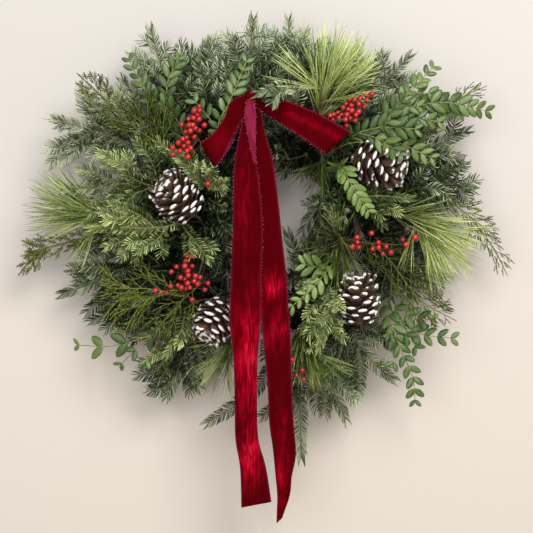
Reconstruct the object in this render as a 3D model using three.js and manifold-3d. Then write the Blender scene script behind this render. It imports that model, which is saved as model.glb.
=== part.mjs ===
// A fresh evergreen wreath: mixed sprays, cones and berries bound round a wire ring, with a velvet ribbon bow.
// Millimetres, +Z up, the front towards -Y. Everything is laid out round the ring's centre, and the whole
// wreath is then moved so that the point where its wire loop hangs is the origin.
import * as THREE from "three";
import { mergeVertices } from "three/addons/utils/BufferGeometryUtils.js";
import Module from "manifold-3d";

const wasm = await Module();
wasm.setup();

// Driving dimensions
const ringRadius = 127; // a ten-inch ring
const ringWire = 2;
const stemRadius = 2;
const stemTip = 1.25;
const shootRadius = 1.05;
const shootTip = 1;
const jointSpacing = 46;
const bindingWire = 0.5;
const bindingTurns = 17;
const loopWire = 0.8;
const loopHeight = 26;
const loopDepth = 9.5;
const loopGap = 0.8;
const laneGap = 0.55;
const clearance = 0.35;
const firNeedle = 19;
const pineNeedle = 96;
const needleRadius = 0.7;
const leafLength = 22;
const leafWidth = 11.5;
const leafThickness = 1.6;
const berryRadius = 4.6;
const stalkRadius = 0.8;
const ribbonThickness = 1.2;
const firSpacing = 36;
const cedarSpacing = 32;
const leafSpacing = 54;
const pineTuft = 6;
const scalesPerCone = 15;
const scaleWidth = 8.5;
const scaleThickness = 4;
const coreShare = 0.42; // of a cone's girth

// Stems lie along the ring in lanes round its wire. A lane's angle is turned from the front, outwards positive.
const lanes = { outer: 90, front: 30, heart: -30, inner: -90 };
const laneRadius = ringWire + stemRadius + laneGap;
const bindingSides = 5;
const bindingRadius = (laneRadius + stemRadius + 0.3 + bindingWire) / Math.cos(Math.PI / bindingSides);
// The top of the ring is left bare for the loop and the bow's wire, and the lanes are shared out past it.
const bareEnd = 100;
const seatPitch = 19;
const seatArc = 17;

const degrees = THREE.MathUtils.degToRad;
const v = (x, y, z) => new THREE.Vector3(x, y, z);
// A point seen from the front: across, up, and how far it stands in front of the ring.
const at = ([across, up, depth]) => v(across, -depth, up);

let seed = 20251;
function random() {
  seed = (seed * 16807) % 2147483647;
  return seed / 2147483647;
}
const spread = (low, high) => low + (high - low) * random();

// A point beside the ring's wire, at a ring angle, in a lane's direction
function besideRing(angle, lane, distance) {
  const radial = ringRadius + distance * Math.sin(degrees(lane));
  const depth = distance * Math.cos(degrees(lane));
  return v(radial * Math.cos(degrees(angle)), -depth, radial * Math.sin(degrees(angle)));
}

// Space already taken, as round-ended rods in a grid of cells
const cellSize = 16;
const cells = new Map();

function eachCell(start, end, reach, visit) {
  const low = start.clone().min(end).subScalar(reach).divideScalar(cellSize).floor();
  const high = start.clone().max(end).addScalar(reach).divideScalar(cellSize).floor();
  for (let x = low.x; x <= high.x; x++)
    for (let y = low.y; y <= high.y; y++)
      for (let z = low.z; z <= high.z; z++) if (visit(x + "," + y + "," + z)) return true;
  return false;
}

function take(start, end, radius, owner, isLeaf = false) {
  const rod = { start: start.clone(), end: end.clone(), radius, owner, isLeaf };
  eachCell(start, end, radius, (key) => {
    if (!cells.has(key)) cells.set(key, []);
    cells.get(key).push(rod);
  });
}

// The least distance between two straight lines of finite length
function lineGap(a, b, c, d) {
  const first = b.clone().sub(a);
  const second = d.clone().sub(c);
  const between = a.clone().sub(c);
  const aa = first.lengthSq();
  const ee = second.lengthSq();
  const ff = second.dot(between);
  const clamp = THREE.MathUtils.clamp;
  let s = 0;
  let t = 0;
  if (aa < 1e-9 && ee < 1e-9) return between.length();
  if (aa < 1e-9) t = clamp(ff / ee, 0, 1);
  else {
    const cc = first.dot(between);
    if (ee < 1e-9) s = clamp(-cc / aa, 0, 1);
    else {
      const bb = first.dot(second);
      const parallel = aa * ee - bb * bb;
      s = parallel > 1e-9 ? clamp((bb * ff - cc * ee) / parallel, 0, 1) : 0;
      t = (bb * s + ff) / ee;
      if (t < 0) {
        t = 0;
        s = clamp(-cc / aa, 0, 1);
      } else if (t > 1) {
        t = 1;
        s = clamp((bb - cc) / aa, 0, 1);
      }
    }
  }
  return between.addScaledVector(first, s).addScaledVector(second, -t).length();
}

// A leaf is tested against its own plant too, from a little way out of its root.
function isTaken(start, end, radius, owner, isLeaf = false) {
  const ownStart = isLeaf ? start.clone().lerp(end, 0.3) : start;
  return eachCell(start, end, radius + clearance, (key) =>
    (cells.get(key) || []).some((rod) => {
      const own = rod.owner === owner;
      if (own && !isLeaf) return false;
      const from = own ? ownStart : start;
      const room = radius + rod.radius + (own ? 0 : clearance);
      return lineGap(from, end, rod.start, rod.end) < room;
    }),
  );
}

const curveThrough = (points) => new THREE.CatmullRomCurve3(points, false, "centripetal");

// A chain of straight lengths. Whatever grows on a stem is rooted on its chain.
class Chain {
  constructor(points) {
    this.points = points;
    this.reached = [0];
    points.slice(1).forEach((point, i) => this.reached.push(this.reached[i] + point.distanceTo(points[i])));
    this.length = this.reached[points.length - 1];
  }
  lengthIndex(share) {
    const along = share * this.length;
    const next = this.reached.findIndex((reached) => reached > along);
    return next < 0 ? this.points.length - 2 : Math.max(next - 1, 0);
  }
  pointAt(share) {
    const i = this.lengthIndex(share);
    const part = (share * this.length - this.reached[i]) / (this.reached[i + 1] - this.reached[i]);
    return this.points[i].clone().lerp(this.points[i + 1], part);
  }
  tangentAt(share) {
    const i = this.lengthIndex(share);
    return this.points[i + 1].clone().sub(this.points[i]).normalize();
  }
  rods() {
    return this.points.slice(1).map((point, i) => [this.points[i], point]);
  }
}

// Directions round an axis: a unit vector across it, turned about it
function aroundAxis(tangent, turn) {
  const helper = Math.abs(tangent.y) < 0.9 ? v(0, 1, 0) : v(1, 0, 0);
  const across = new THREE.Vector3().crossVectors(tangent, helper).normalize();
  return across.applyAxisAngle(tangent, turn);
}

// A tapering rod along a chain: a plain cylinder whose rings are moved onto the chain's joints.
// One of its edges starts out facing the way that is given.
function bentRod(chain, startRadius, endRadius, sides, facing = null) {
  const steps = chain.points.length - 1;
  const geometry = new THREE.CylinderGeometry(1, 1, 1, sides, steps);
  const place = geometry.attributes.position;
  const frames = [];
  for (let i = 0; i <= steps; i++) {
    const before = chain.points[Math.max(i - 1, 0)];
    const after = chain.points[Math.min(i + 1, steps)];
    const tangent = after.clone().sub(before).normalize();
    let across = facing ? facing.clone().projectOnPlane(tangent).normalize() : aroundAxis(tangent, 0);
    if (i > 0) {
      const turn = new THREE.Quaternion().setFromUnitVectors(frames[i - 1].tangent, tangent);
      across = frames[i - 1].across.clone().applyQuaternion(turn);
    }
    frames.push({ tangent, across, up: new THREE.Vector3().crossVectors(across, tangent) });
  }
  for (let i = 0; i < place.count; i++) {
    const joint = Math.round((place.getY(i) + 0.5) * steps);
    const radius = THREE.MathUtils.lerp(startRadius, endRadius, chain.reached[joint] / chain.length);
    const moved = chain.points[joint]
      .clone()
      .addScaledVector(frames[joint].across, place.getX(i) * radius)
      .addScaledVector(frames[joint].up, place.getZ(i) * radius);
    place.setXYZ(i, moved.x, moved.y, moved.z);
  }
  return geometry;
}

// Turns a shape made along +Y so that it points along a direction from a root.
function pointed(geometry, root, direction, roll = 0) {
  const turn = new THREE.Quaternion().setFromUnitVectors(v(0, 1, 0), direction.clone().normalize());
  return geometry.rotateY(roll).applyQuaternion(turn).translate(root.x, root.y, root.z);
}

function needleShape(root, tip, radius) {
  const along = tip.clone().sub(root);
  const length = along.length();
  return pointed(new THREE.ConeGeometry(radius, length, 3).translate(0, length / 2, 0), root, along);
}

// A leaf: widest before its middle, thick along its rib and thin at its edge
function leafShape(root, tip, face, width) {
  const along = tip.clone().sub(root);
  const across = new THREE.Vector3().crossVectors(along, face).normalize();
  const up = new THREE.Vector3().crossVectors(across, along).normalize();
  const widest = 0.45;
  const geometry = new THREE.OctahedronGeometry(1, 0);
  const place = geometry.attributes.position;
  for (let i = 0; i < place.count; i++) {
    const far = place.getX(i);
    const moved = root
      .clone()
      .addScaledVector(along, far < 0 ? widest * (1 + far) : widest + (1 - widest) * far)
      .addScaledVector(up, (place.getY(i) * leafThickness) / 2)
      .addScaledVector(across, (place.getZ(i) * width) / 2);
    place.setXYZ(i, moved.x, moved.y, moved.z);
  }
  return geometry;
}

function solidOf(geometry) {
  const bare = geometry.clone();
  bare.deleteAttribute("normal");
  bare.deleteAttribute("uv");
  const merged = mergeVertices(bare, 1e-4);
  const solid = new wasm.Manifold(
    new wasm.Mesh({
      numProp: 3,
      vertProperties: new Float32Array(merged.attributes.position.array),
      triVerts: new Uint32Array(merged.index.array),
    }),
  );
  return solid;
}

// Joins shapes into one body, and drops a scrap that touches nothing.
function fused(geometries) {
  const joined = wasm.Manifold.union(geometries.map(solidOf));
  const bodies = joined.decompose();
  const largest = bodies.reduce((best, body) => (body.volume() > best.volume() ? body : best));
  const mesh = largest.getMesh();
  const geometry = new THREE.BufferGeometry();
  geometry.setAttribute("position", new THREE.BufferAttribute(new Float32Array(mesh.vertProperties), 3));
  geometry.setIndex(new THREE.BufferAttribute(new Uint32Array(mesh.triVerts), 1));
  geometry.computeVertexNormals();
  return geometry;
}

const finishes = {
  steel: new THREE.MeshStandardMaterial({ color: 0x4d5a4a, roughness: 0.5, metalness: 0.6 }),
  fir: new THREE.MeshStandardMaterial({ color: 0x4c6650, roughness: 0.6, metalness: 0 }),
  firLight: new THREE.MeshStandardMaterial({ color: 0x7d9460, roughness: 0.6, metalness: 0 }),
  pine: new THREE.MeshStandardMaterial({ color: 0x6f8a3c, roughness: 0.55, metalness: 0 }),
  cedar: new THREE.MeshStandardMaterial({ color: 0x82933c, roughness: 0.6, metalness: 0 }),
  boxwood: new THREE.MeshStandardMaterial({ color: 0x4d7a33, roughness: 0.4, metalness: 0 }),
  cone: new THREE.MeshStandardMaterial({ color: 0x4a3327, roughness: 0.75, metalness: 0 }),
  berry: new THREE.MeshStandardMaterial({ color: 0xc0141c, roughness: 0.25, metalness: 0 }),
  velvet: new THREE.MeshStandardMaterial({ color: 0x7a0018, roughness: 0.85, metalness: 0 }),
};

const wreath = new THREE.Group();
function addPiece(name, finish, geometry) {
  const mesh = new THREE.Mesh(geometry, finishes[finish].clone());
  mesh.name = name;
  wreath.add(mesh);
}

// The wires that carry the wreath
function wireAlong(points, radius, sides, name) {
  const chain = new Chain(points);
  chain.rods().forEach(([a, b]) => take(a, b, radius, name));
  return bentRod(chain, radius, radius, sides);
}

function buildRing() {
  const sides = 48;
  const ring = new THREE.TorusGeometry(ringRadius, ringWire, 6, sides).rotateX(Math.PI / 2);
  for (let i = 0; i < sides; i++)
    take(besideRing((360 * i) / sides, 0, 0), besideRing((360 * (i + 1)) / sides, 0, 0), ringWire, "ring_frame");
  addPiece("ring_frame", "steel", ring);
}

// One turn to each seat, crossing the front of the bundle where every stem still lies in its lane
function buildBinding() {
  const points = [];
  for (let i = 0; i <= bindingTurns * bindingSides; i++) {
    const turns = i / bindingSides;
    points.push(besideRing(bareEnd + seatPitch * turns + seatArc * 0.3, 360 * turns, bindingRadius));
  }
  addPiece("binding_wire", "steel", wireAlong(points, bindingWire, 3, "binding_wire"));
}

// A wire hook under the ring's wire, from behind it to its front, at a place along the top
function hookPoints(across) {
  const reach = ringWire + loopWire + loopGap;
  const up = Math.sqrt(ringRadius ** 2 - across ** 2);
  return [20, -40, -90, -140, -200].map((turn) =>
    v(across, reach * Math.cos(degrees(turn)), up + reach * Math.sin(degrees(turn))));
}

// The loop stands up behind the ring, and its two ends hook forward under the ring's wire.
function buildHangingLoop() {
  const half = [
    ...hookPoints(3.2).reverse(),
    v(4.5, loopDepth * 0.8, ringRadius + 6),
    v(8, loopDepth, ringRadius + 13),
    v(6.5, loopDepth, ringRadius + loopHeight - 5),
  ];
  const other = half.map((point) => v(-point.x, point.y, point.z)).reverse();
  const points = [...half, v(0, loopDepth, ringRadius + loopHeight), ...other];
  addPiece("hanging_loop", "steel", wireAlong(points, loopWire, 4, "hanging_loop"));
}

// The wire that ties the bow: a hook round the ring, then forward through the greens to the knot's back
function buildBowWire() {
  const across = -17;
  const points = [
    ...hookPoints(across),
    v(across - 3, -30, ringRadius + 12),
    v(across - 7, -70, ringRadius + 32),
    v(knot.x, knot.y + knotSize.y + 0.3, knot.z),
  ];
  addPiece("bow_wire", "steel", wireAlong(points, loopWire, 4, "bow_wire"));
}

// The ribbon is one strip, laid as two flat loops and two tails that meet in a knot.
const knot = at([-26, 172, 110]);
const knotSize = v(9, 7, 13);
const ribbonStations = {
  loop_left: [
    [[-31, 176, 114], [-24, 160, 115]],
    [[-54, 165, 117], [-36, 143, 117]],
    [[-63, 143, 118], [-53, 115, 118]],
    [[-79, 120, 117], [-64, 90, 118]],
    [[-95, 109, 112], [-74, 75, 116]],
    [[-97, 107, 106], [-76, 73, 110]],
    [[-94, 110, 99], [-74, 76, 104]],
    [[-76, 124, 100], [-60, 95, 102]],
    [[-52, 152, 103], [-42, 128, 104]],
    [[-30, 172, 106], [-24, 158, 106]],
  ],
  loop_right: [
    [[-20, 174, 108], [-20, 160, 109]],
    [[-4, 166, 110], [-6, 146, 110]],
    [[17, 164, 114], [15, 134, 114]],
    [[55, 153, 118], [34, 121, 119]],
    [[92, 134, 118], [62, 102, 120]],
    [[110, 124, 112], [75, 94, 115]],
    [[112, 122, 105], [77, 92, 108]],
    [[106, 126, 99], [72, 96, 103]],
    [[60, 149, 100], [38, 120, 102]],
    [[14, 162, 103], [12, 138, 103]],
    [[-20, 173, 105], [-20, 158, 105]],
  ],
  tail_left: [
    [[-33, 170, 113], [-22, 170, 114]],
    [[-35, 151, 116], [-20, 151, 117]],
    [[-43, 115, 118], [-21, 115, 121]],
    [[-49, 81, 120], [-19, 81, 121]],
    [[-51, 45, 121], [-14, 45, 121]],
    [[-52, -13, 121], [-10, -13, 121]],
    [[-54, -75, 122], [-12, -75, 122]],
    [[-56, -142, 123], [-13, -142, 124]],
    [[-51, -189, 124], [-17, -189, 126]],
    [[-49, -254, 124], [-18, -254, 123]],
    [[-48, -305, 120], [-16, -305, 118]],
    [[-42, -342, 116], [-6, -342, 115]],
    [[-40, -400, 112], [2, -392, 113]],
  ],
  tail_right: [
    [[-29, 164, 108], [-20, 164, 109]],
    [[-29, 148, 110], [-13, 150, 111]],
    [[-34, 122, 112], [-7, 122, 112]],
    [[-36, 88, 113], [3, 88, 113]],
    [[-30, 40, 115], [10, 40, 115]],
    [[-24, -26, 116], [17, -26, 116]],
    [[-17, -80, 117], [23, -80, 117]],
    [[-13, -128, 118], [26, -128, 118]],
    [[-9, -175, 119], [29, -175, 119]],
    [[-4, -224, 118], [30, -224, 117]],
    [[-1, -284, 115], [33, -284, 114]],
    [[4, -320, 111], [36, -327, 110]],
    [[8, -362, 108], [30, -358, 112]],
    [[10, -385, 106], [28, -380, 110]],
    [[9, -423, 105], [17, -415, 108]],
  ],
};

// A flat strip bent through pairs of edge points
function stripThrough(pairs, thickness) {
  const edges = pairs.map(([left, right]) => [at(left), at(right)]);
  const last = edges.length - 1;
  const faces = edges.map(([left, right], i) => {
    const before = edges[Math.max(i - 1, 0)];
    const after = edges[Math.min(i + 1, last)];
    const along = after[0].clone().add(after[1]).sub(before[0]).sub(before[1]);
    return new THREE.Vector3().crossVectors(right.clone().sub(left), along).normalize();
  });
  const geometry = new THREE.BoxGeometry(1, 1, 1, 1, last, 1);
  const place = geometry.attributes.position;
  for (let i = 0; i < place.count; i++) {
    const step = Math.round((0.5 - place.getY(i)) * last);
    const [left, right] = edges[step];
    const moved = left
      .clone()
      .lerp(right, place.getX(i) + 0.5)
      .addScaledVector(faces[step], -place.getZ(i) * thickness);
    place.setXYZ(i, moved.x, moved.y, moved.z);
  }
  return geometry;
}

function buildRibbon() {
  const shapes = Object.values(ribbonStations).map((pairs) => stripThrough(pairs, ribbonThickness));
  const lump = new THREE.SphereGeometry(1, 7, 4).scale(knotSize.x, knotSize.y, knotSize.z);
  shapes.push(lump.translate(knot.x, knot.y, knot.z));
  const bandRadius = 2.6;
  const rowSpacing = 5;
  for (const pairs of Object.values(ribbonStations)) {
    const left = curveThrough(pairs.map((pair) => at(pair[0])));
    const right = curveThrough(pairs.map((pair) => at(pair[1])));
    const rows = Math.ceil(left.getLength() / rowSpacing);
    for (let i = 0; i <= rows; i++)
      take(left.getPoint(i / rows), right.getPoint(i / rows), bandRadius, "velvet_ribbon");
  }
  take(knot, knot, knotSize.z, "velvet_ribbon");
  addPiece("velvet_ribbon", "velvet", fused(shapes));
}

// Every plant: its lane and seat on the ring, the way to its tip, and the tips of its side shoots
// (of single needles on a pine). Points are across, up and depth.
const plants = [
  // the back row, round the outside
  { name: "fir_top_left", kind: "fir", seat: ["outer", 0],
    way: [[-88, 165, 30], [-114, 250, 35]], shoots: [[-78, 267, 30]] },
  { name: "fir_upper_left", kind: "fir", seat: ["outer", 1],
    way: [[-140, 165, 35], [-172, 277, 40]], shoots: [[-146, 253, 30]] },
  { name: "fir_left_high", kind: "fir", seat: ["outer", 2],
    way: [[-185, 105, 35], [-312, 148, 50]], shoots: [[-256, 160, 42], [-273, 193, 38], [-314, 84, 50]] },
  { name: "cedar_left", kind: "cedar", seat: ["outer", 3],
    way: [[-213, -10, 30], [-290, -30, 45], [-349, -44, 40]],
    shoots: [[-355, -28, 45], [-354, -53, 40], [-348, -60, 35], [-362, -75, 35], [-338, -70, 45]] },
  { name: "fir_left_low", kind: "fir", seat: ["outer", 4],
    way: [[-199, -70, 30], [-300, -104, 35]], shoots: [[-281, -71, 30]] },
  { name: "fir_lower_left", kind: "fir", seat: ["outer", 5],
    way: [[-185, -112, 25], [-258, -143, 30]], shoots: [[-225, -150, 22]] },
  { name: "fir_bottom_left", kind: "fir", seat: ["outer", 6],
    way: [[-118, -178, 35], [-149, -254, 35]],
    shoots: [[-172, -243, 40], [-190, -222, 35], [-104, -237, 45]] },
  { name: "pine_behind_tails", kind: "pine", seat: ["outer", 7],
    way: [[-48, -172, 60], [-66, -190, 70]],
    shoots: [[-101, -176, 80], [-105, -190, 75], [-95, -234, 75], [-81, -251, 65], [-60, -250, 60]] },
  { name: "fir_bottom", kind: "fir", seat: ["outer", 8],
    way: [[20, -185, 45], [40, -250, 60], [45, -338, 55]], shoots: [[-11, -278, 60]] },
  { name: "fir_bottom_right", kind: "fir", seat: ["outer", 9],
    way: [[72, -195, 30], [109, -284, 35]], shoots: [[84, -266, 30]] },
  { name: "fir_lower_right", kind: "fir", seat: ["outer", 10],
    way: [[118, -158, 30], [150, -205, 35], [179, -227, 35]],
    shoots: [[124, -251, 45], [88, -214, 50]] },
  { name: "boxwood_lower_right", kind: "boxwood", seat: ["outer", 11],
    way: [[163, -118, 35], [185, -179, 65], [203, -223, 70], [206, -254, 70]],
    shoots: [[256, -166, 75]] },
  { name: "fir_right_low", kind: "fir", seat: ["outer", 12],
    way: [[178, -41, 22], [253, -81, 40]], shoots: [[241, -108, 36], [227, -58, 45]] },
  { name: "cedar_right", kind: "cedar", seat: ["outer", 13],
    way: [[185, 34, 30], [241, 36, 40], [329, -24, 40]],
    shoots: [[320, 7, 45], [324, -4, 42], [314, -30, 36], [344, -77, 30], [284, -34, 35]] },
  { name: "fir_right", kind: "fir", seat: ["outer", 14],
    way: [[199, 68, 25], [293, 47, 30]], shoots: [[281, 84, 25]] },
  { name: "fir_right_high", kind: "fir", seat: ["outer", 15],
    way: [[190, 95, 25], [285, 131, 30]], shoots: [[268, 150, 26]] },
  { name: "fir_upper_right", kind: "fir", seat: ["outer", 16],
    way: [[110, 150, 25], [202, 240, 30]], shoots: [[160, 241, 26], [192, 200, 30]] },
  { name: "fir_top", kind: "fir", seat: ["outer", 17],
    way: [[28, 170, 30], [27, 293, 35]], shoots: [[4, 264, 40], [80, 258, 40]] },
  // the middle row
  { name: "fir_top_middle", kind: "fir", seat: ["front", 0],
    way: [[-40, 165, 55], [-24, 288, 62]], shoots: [[-57, 257, 60]] },
  { name: "boxwood_upper_left", kind: "boxwood", seat: ["front", 1],
    way: [[-140, 155, 60], [-172, 180, 72], [-199, 226, 75]], shoots: [[-131, 229, 68]] },
  { name: "cedar_upper_left", kind: "cedar", seat: ["front", 2],
    way: [[-160, 110, 68], [-187, 129, 75], [-272, 208, 72]],
    shoots: [[-241, 197, 78], [-227, 180, 80], [-169, 190, 80], [-145, 168, 85], [-254, 180, 66]] },
  { name: "fir_left", kind: "firLight", seat: ["front", 3],
    way: [[-175, 50, 65], [-290, 44, 75]], shoots: [[-250, 62, 72]] },
  { name: "pine_left", kind: "pine", seat: ["front", 4],
    way: [[-175, -2, 55], [-225, 5, 62], [-263, 13, 65]],
    shoots: [[-315, 74, 70], [-331, 65, 65], [-346, 57, 65], [-356, 38, 62], [-362, 18, 60],
      [-352, -4, 60], [-348, -17, 60], [-330, 30, 60], [-287, -55, 70]] },
  { name: "berries_left", kind: "berry", seat: ["front", 5],
    way: [[-118, -62, 70], [-116, -84, 82], [-124, -98, 84]],
    shoots: [[-116, -50, 84], [-109, -62, 90], [-122, -70, 92], [-138, -72, 86], [-113, -77, 95], [-99, -80, 92],
      [-120, -89, 96], [-104, -90, 93], [-132, -90, 90], [-150, -100, 84], [-93, -97, 88]] },
  { name: "boxwood_lower_left", kind: "boxwood", seat: ["heart", 6],
    way: [[-138, -140, 55], [-166, -160, 70], [-212, -203, 55]], shoots: [[-217, -158, 60], [-274, -178, 45]] },
  { name: "fir_front_low_left", kind: "firLight", seat: ["front", 6],
    way: [[-118, -128, 48], [-126, -156, 84], [-146, -189, 88]], shoots: [[-160, -212, 62]] },
  { name: "pine_bottom", kind: "pine", seat: ["front", 9],
    way: [[48, -150, 60], [55, -185, 82]],
    shoots: [[30, -197, 95], [92, -244, 85], [43, -242, 90], [62, -250, 88], [22, -228, 88], [86, -200, 92]] },
  { name: "berries_bottom", kind: "berry", seat: ["front", 10],
    way: [[46, -160, 50], [36, -195, 84], [42, -214, 84]],
    shoots: [[47, -222, 88], [34, -212, 90], [31, -196, 92]] },
  { name: "cone_lower_right", kind: "cone", seat: ["front", 11],
    way: [[126, -112, 26], [132, -156, 50], [126, -132, 70]], base: [128, -146, 64], apex: [122, -74, 84], girth: 28 },
  { name: "cedar_lower_right", kind: "cedar", seat: ["front", 12],
    way: [[168, -52, 52], [213, -112, 75], [263, -141, 70]], shoots: [[254, -112, 70], [228, -142, 74]] },
  { name: "pine_right", kind: "pine", seat: ["front", 13],
    way: [[165, 12, 62], [205, 5, 78], [232, -8, 82]],
    shoots: [[298, -20, 75], [283, -30, 78], [264, -44, 82], [244, -60, 85], [200, -86, 88], [266, -91, 70],
      [274, -84, 66], [300, -74, 62]] },
  { name: "cone_upper_right", kind: "cone", seat: ["front", 14],
    way: [[114, 70, 34], [138, 84, 68]], base: [118, 90, 60], apex: [192, 70, 80], girth: 31 },
  { name: "boxwood_right", kind: "boxwood", seat: ["front", 15],
    way: [[125, 125, 70], [163, 136, 92], [189, 173, 85], [230, 217, 70]],
    shoots: [[307, 158, 62], [226, 90, 80], [180, 92, 108]] },
  { name: "berries_upper_right", kind: "berry", seat: ["heart", 16],
    way: [[85, 135, 62], [112, 148, 76], [134, 168, 78]],
    shoots: [[142, 176, 84], [128, 171, 86], [108, 164, 84], [124, 152, 86], [114, 142, 84], [90, 147, 82]] },
  { name: "pine_top_right", kind: "pine", seat: ["front", 17],
    way: [[66, 140, 62], [72, 172, 88], [84, 192, 92]],
    shoots: [[84, 276, 80], [101, 277, 78], [118, 274, 80], [136, 264, 82], [148, 248, 84], [148, 229, 88],
      [152, 196, 92], [60, 262, 86], [21, 205, 105], [34, 236, 92]] },
  // the front row and the sprays that turn in to the hole
  { name: "boxwood_over_bow", kind: "boxwood", seat: ["heart", 0],
    way: [[-62, 112, 80], [-72, 136, 102], [-58, 162, 108], [-34, 222, 92]], shoots: [[-104, 166, 90]] },
  { name: "berries_upper_left", kind: "berry", seat: ["heart", 1],
    way: [[-88, 96, 72], [-104, 122, 82], [-102, 150, 84]],
    shoots: [[-99, 160, 88], [-112, 150, 87], [-102, 140, 93], [-115, 131, 88], [-101, 125, 92], [-119, 116, 86],
      [-110, 106, 90], [-118, 92, 82], [-134, 96, 78]] },
  { name: "fir_beside_cone", kind: "firLight", seat: ["heart", 2],
    way: [[-92, 50, 66], [-100, 58, 84], [-136, 96, 92]], shoots: [[-62, 54, 88], [-158, 112, 80]] },
  { name: "cone_left", kind: "cone", seat: ["heart", 3],
    way: [[-100, 2, 42], [-120, 20, 66]], base: [-108, 8, 60], apex: [-152, 54, 82], girth: 30 },
  { name: "fir_front_left", kind: "firLight", seat: ["heart", 4],
    way: [[-128, -4, 66], [-150, -9, 92], [-252, -12, 92]],
    shoots: [[-189, -56, 92], [-228, 18, 88], [-85, -56, 98]] },
  { name: "cedar_front_left", kind: "cedar", seat: ["heart", 5],
    way: [[-108, -98, 62], [-128, -106, 98], [-160, -97, 100], [-226, -95, 90]],
    shoots: [[-192, -52, 92], [-239, -64, 86], [-236, -78, 86], [-213, -121, 88], [-238, -140, 80], [-186, -132, 90]] },
  { name: "cone_bottom_left", kind: "cone", seat: ["heart", 7],
    way: [[-60, -106, 44], [-72, -130, 68]], base: [-66, -118, 60], apex: [-92, -166, 86], girth: 26 },
  { name: "fir_front_low_right", kind: "firLight", seat: ["heart", 10],
    way: [[78, -95, 66], [84, -118, 92], [68, -183, 98]], shoots: [[104, -166, 92]] },
  { name: "boxwood_inner_right", kind: "boxwood", seat: ["heart", 11],
    way: [[88, -62, 74], [62, -92, 100], [32, -119, 106]], shoots: [[50, -62, 96]] },
  { name: "berries_right", kind: "berry", seat: ["heart", 12],
    way: [[112, -26, 72], [140, -32, 82], [188, -34, 84]],
    shoots: [[122, -22, 86], [117, -36, 90], [142, -20, 88], [150, -36, 92], [162, -45, 88], [188, -30, 86],
      [203, -24, 84]] },
  { name: "fir_front_right", kind: "firLight", seat: ["heart", 13],
    way: [[118, 22, 66], [142, 34, 90], [197, 31, 94]], shoots: [[97, -6, 92], [158, -8, 96]] },
  { name: "boxwood_front_right", kind: "boxwood", seat: ["heart", 14],
    way: [[96, 76, 78], [101, 72, 96], [118, 42, 104], [137, 14, 98]], shoots: [] },
  { name: "cedar_upper_right", kind: "cedar", seat: ["heart", 15],
    way: [[110, 110, 66], [200, 118, 58], [264, 172, 45], [311, 195, 40]], shoots: [[300, 198, 40]] },
  { name: "fir_over_bow", kind: "fir", seat: ["heart", 17],
    way: [[28, 140, 82], [38, 178, 112], [16, 182, 128], [-16, 174, 130]], shoots: [[4, 160, 146]] },
  { name: "fir_inner_top", kind: "fir", seat: ["inner", 16],
    way: [[54, 98, 35], [28, 88, 60]], shoots: [[62, 76, 50]] },
  { name: "pine_inner_top", kind: "pine", seat: ["inner", 15],
    way: [[80, 84, 50], [72, 96, 82]],
    shoots: [[37, 62, 88], [74, 62, 92], [58, 50, 84], [94, 78, 94], [62, 90, 163], [84, 108, 158]] },
  { name: "fir_inner_right", kind: "fir", seat: ["inner", 14],
    way: [[88, 42, 45], [64, 14, 62], [47, -13, 60]], shoots: [[66, 32, 78]] },
  { name: "pine_inner_right", kind: "pine", seat: ["inner", 12],
    way: [[102, -26, 46], [96, -14, 78]],
    shoots: [[50, -58, 88], [68, -77, 92], [104, -88, 96], [126, -72, 98], [84, -84, 90]] },
  { name: "fir_inner_bottom", kind: "fir", seat: ["inner", 10],
    way: [[58, -84, 40], [38, -50, 58], [26, -18, 60]], shoots: [[22, -80, 66], [52, -44, 48]] },
  { name: "fir_inner_left", kind: "fir", seat: ["inner", 3],
    way: [[-92, 8, 40], [-68, -24, 66], [-56, -61, 70]], shoots: [[-60, 2, 72]] },
];

// The stem's curve: along the ring in its lane, out of the bundle, then by way of its points to the tip
function stemCurve(plant, shift, lift, aside) {
  const [laneName, seat] = plant.seat;
  const lane = lanes[laneName];
  const rest = bareEnd + seat * seatPitch;
  const leave = rest + seatArc - shift;
  const points = [0, 1 / 3, 2 / 3, 1].map((share) => besideRing(rest + (leave - rest) * share, lane, laneRadius));
  points.push(besideRing(leave + 4.5, lane, laneRadius + 6.5));
  const sideways = besideRing(leave + 90, 0, 0).normalize().multiplyScalar(aside);
  plant.way.forEach((point, i) => {
    const eased = i === 0 ? 1 : i === plant.way.length - 1 ? 0 : 0.5;
    points.push(at(point).addScaledVector(v(0, lift, 0).add(sideways), eased));
  });
  return curveThrough(points);
}

// Ways to shift a stem off what is already there: earlier out of its lane, deeper, or aside
const stemShifts = [];
for (const aside of [0, 7, -7, 14, -14, 21, -21])
  for (const lift of [0, 6, -6, 12, -12]) for (const shift of [0, 2, 4, 6, 8]) stemShifts.push([shift, lift, aside]);

// A stem's chain has joints every so often, and two more where it lies along the ring.
function stemChain(plant, shift, lift, aside) {
  const curve = stemCurve(plant, shift, lift, aside);
  const runShare = (ringRadius * degrees(seatArc - shift)) / curve.getLength();
  const beyond = Math.max(3, Math.round((curve.getLength() * (1 - runShare)) / jointSpacing));
  const shares = [0, 0.5 * runShare, runShare];
  for (let i = 1; i <= beyond; i++) shares.push(Math.min(runShare + ((1 - runShare) * i) / beyond, 1));
  return new Chain(shares.map((share) => curve.getPointAt(share)));
}

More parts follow.
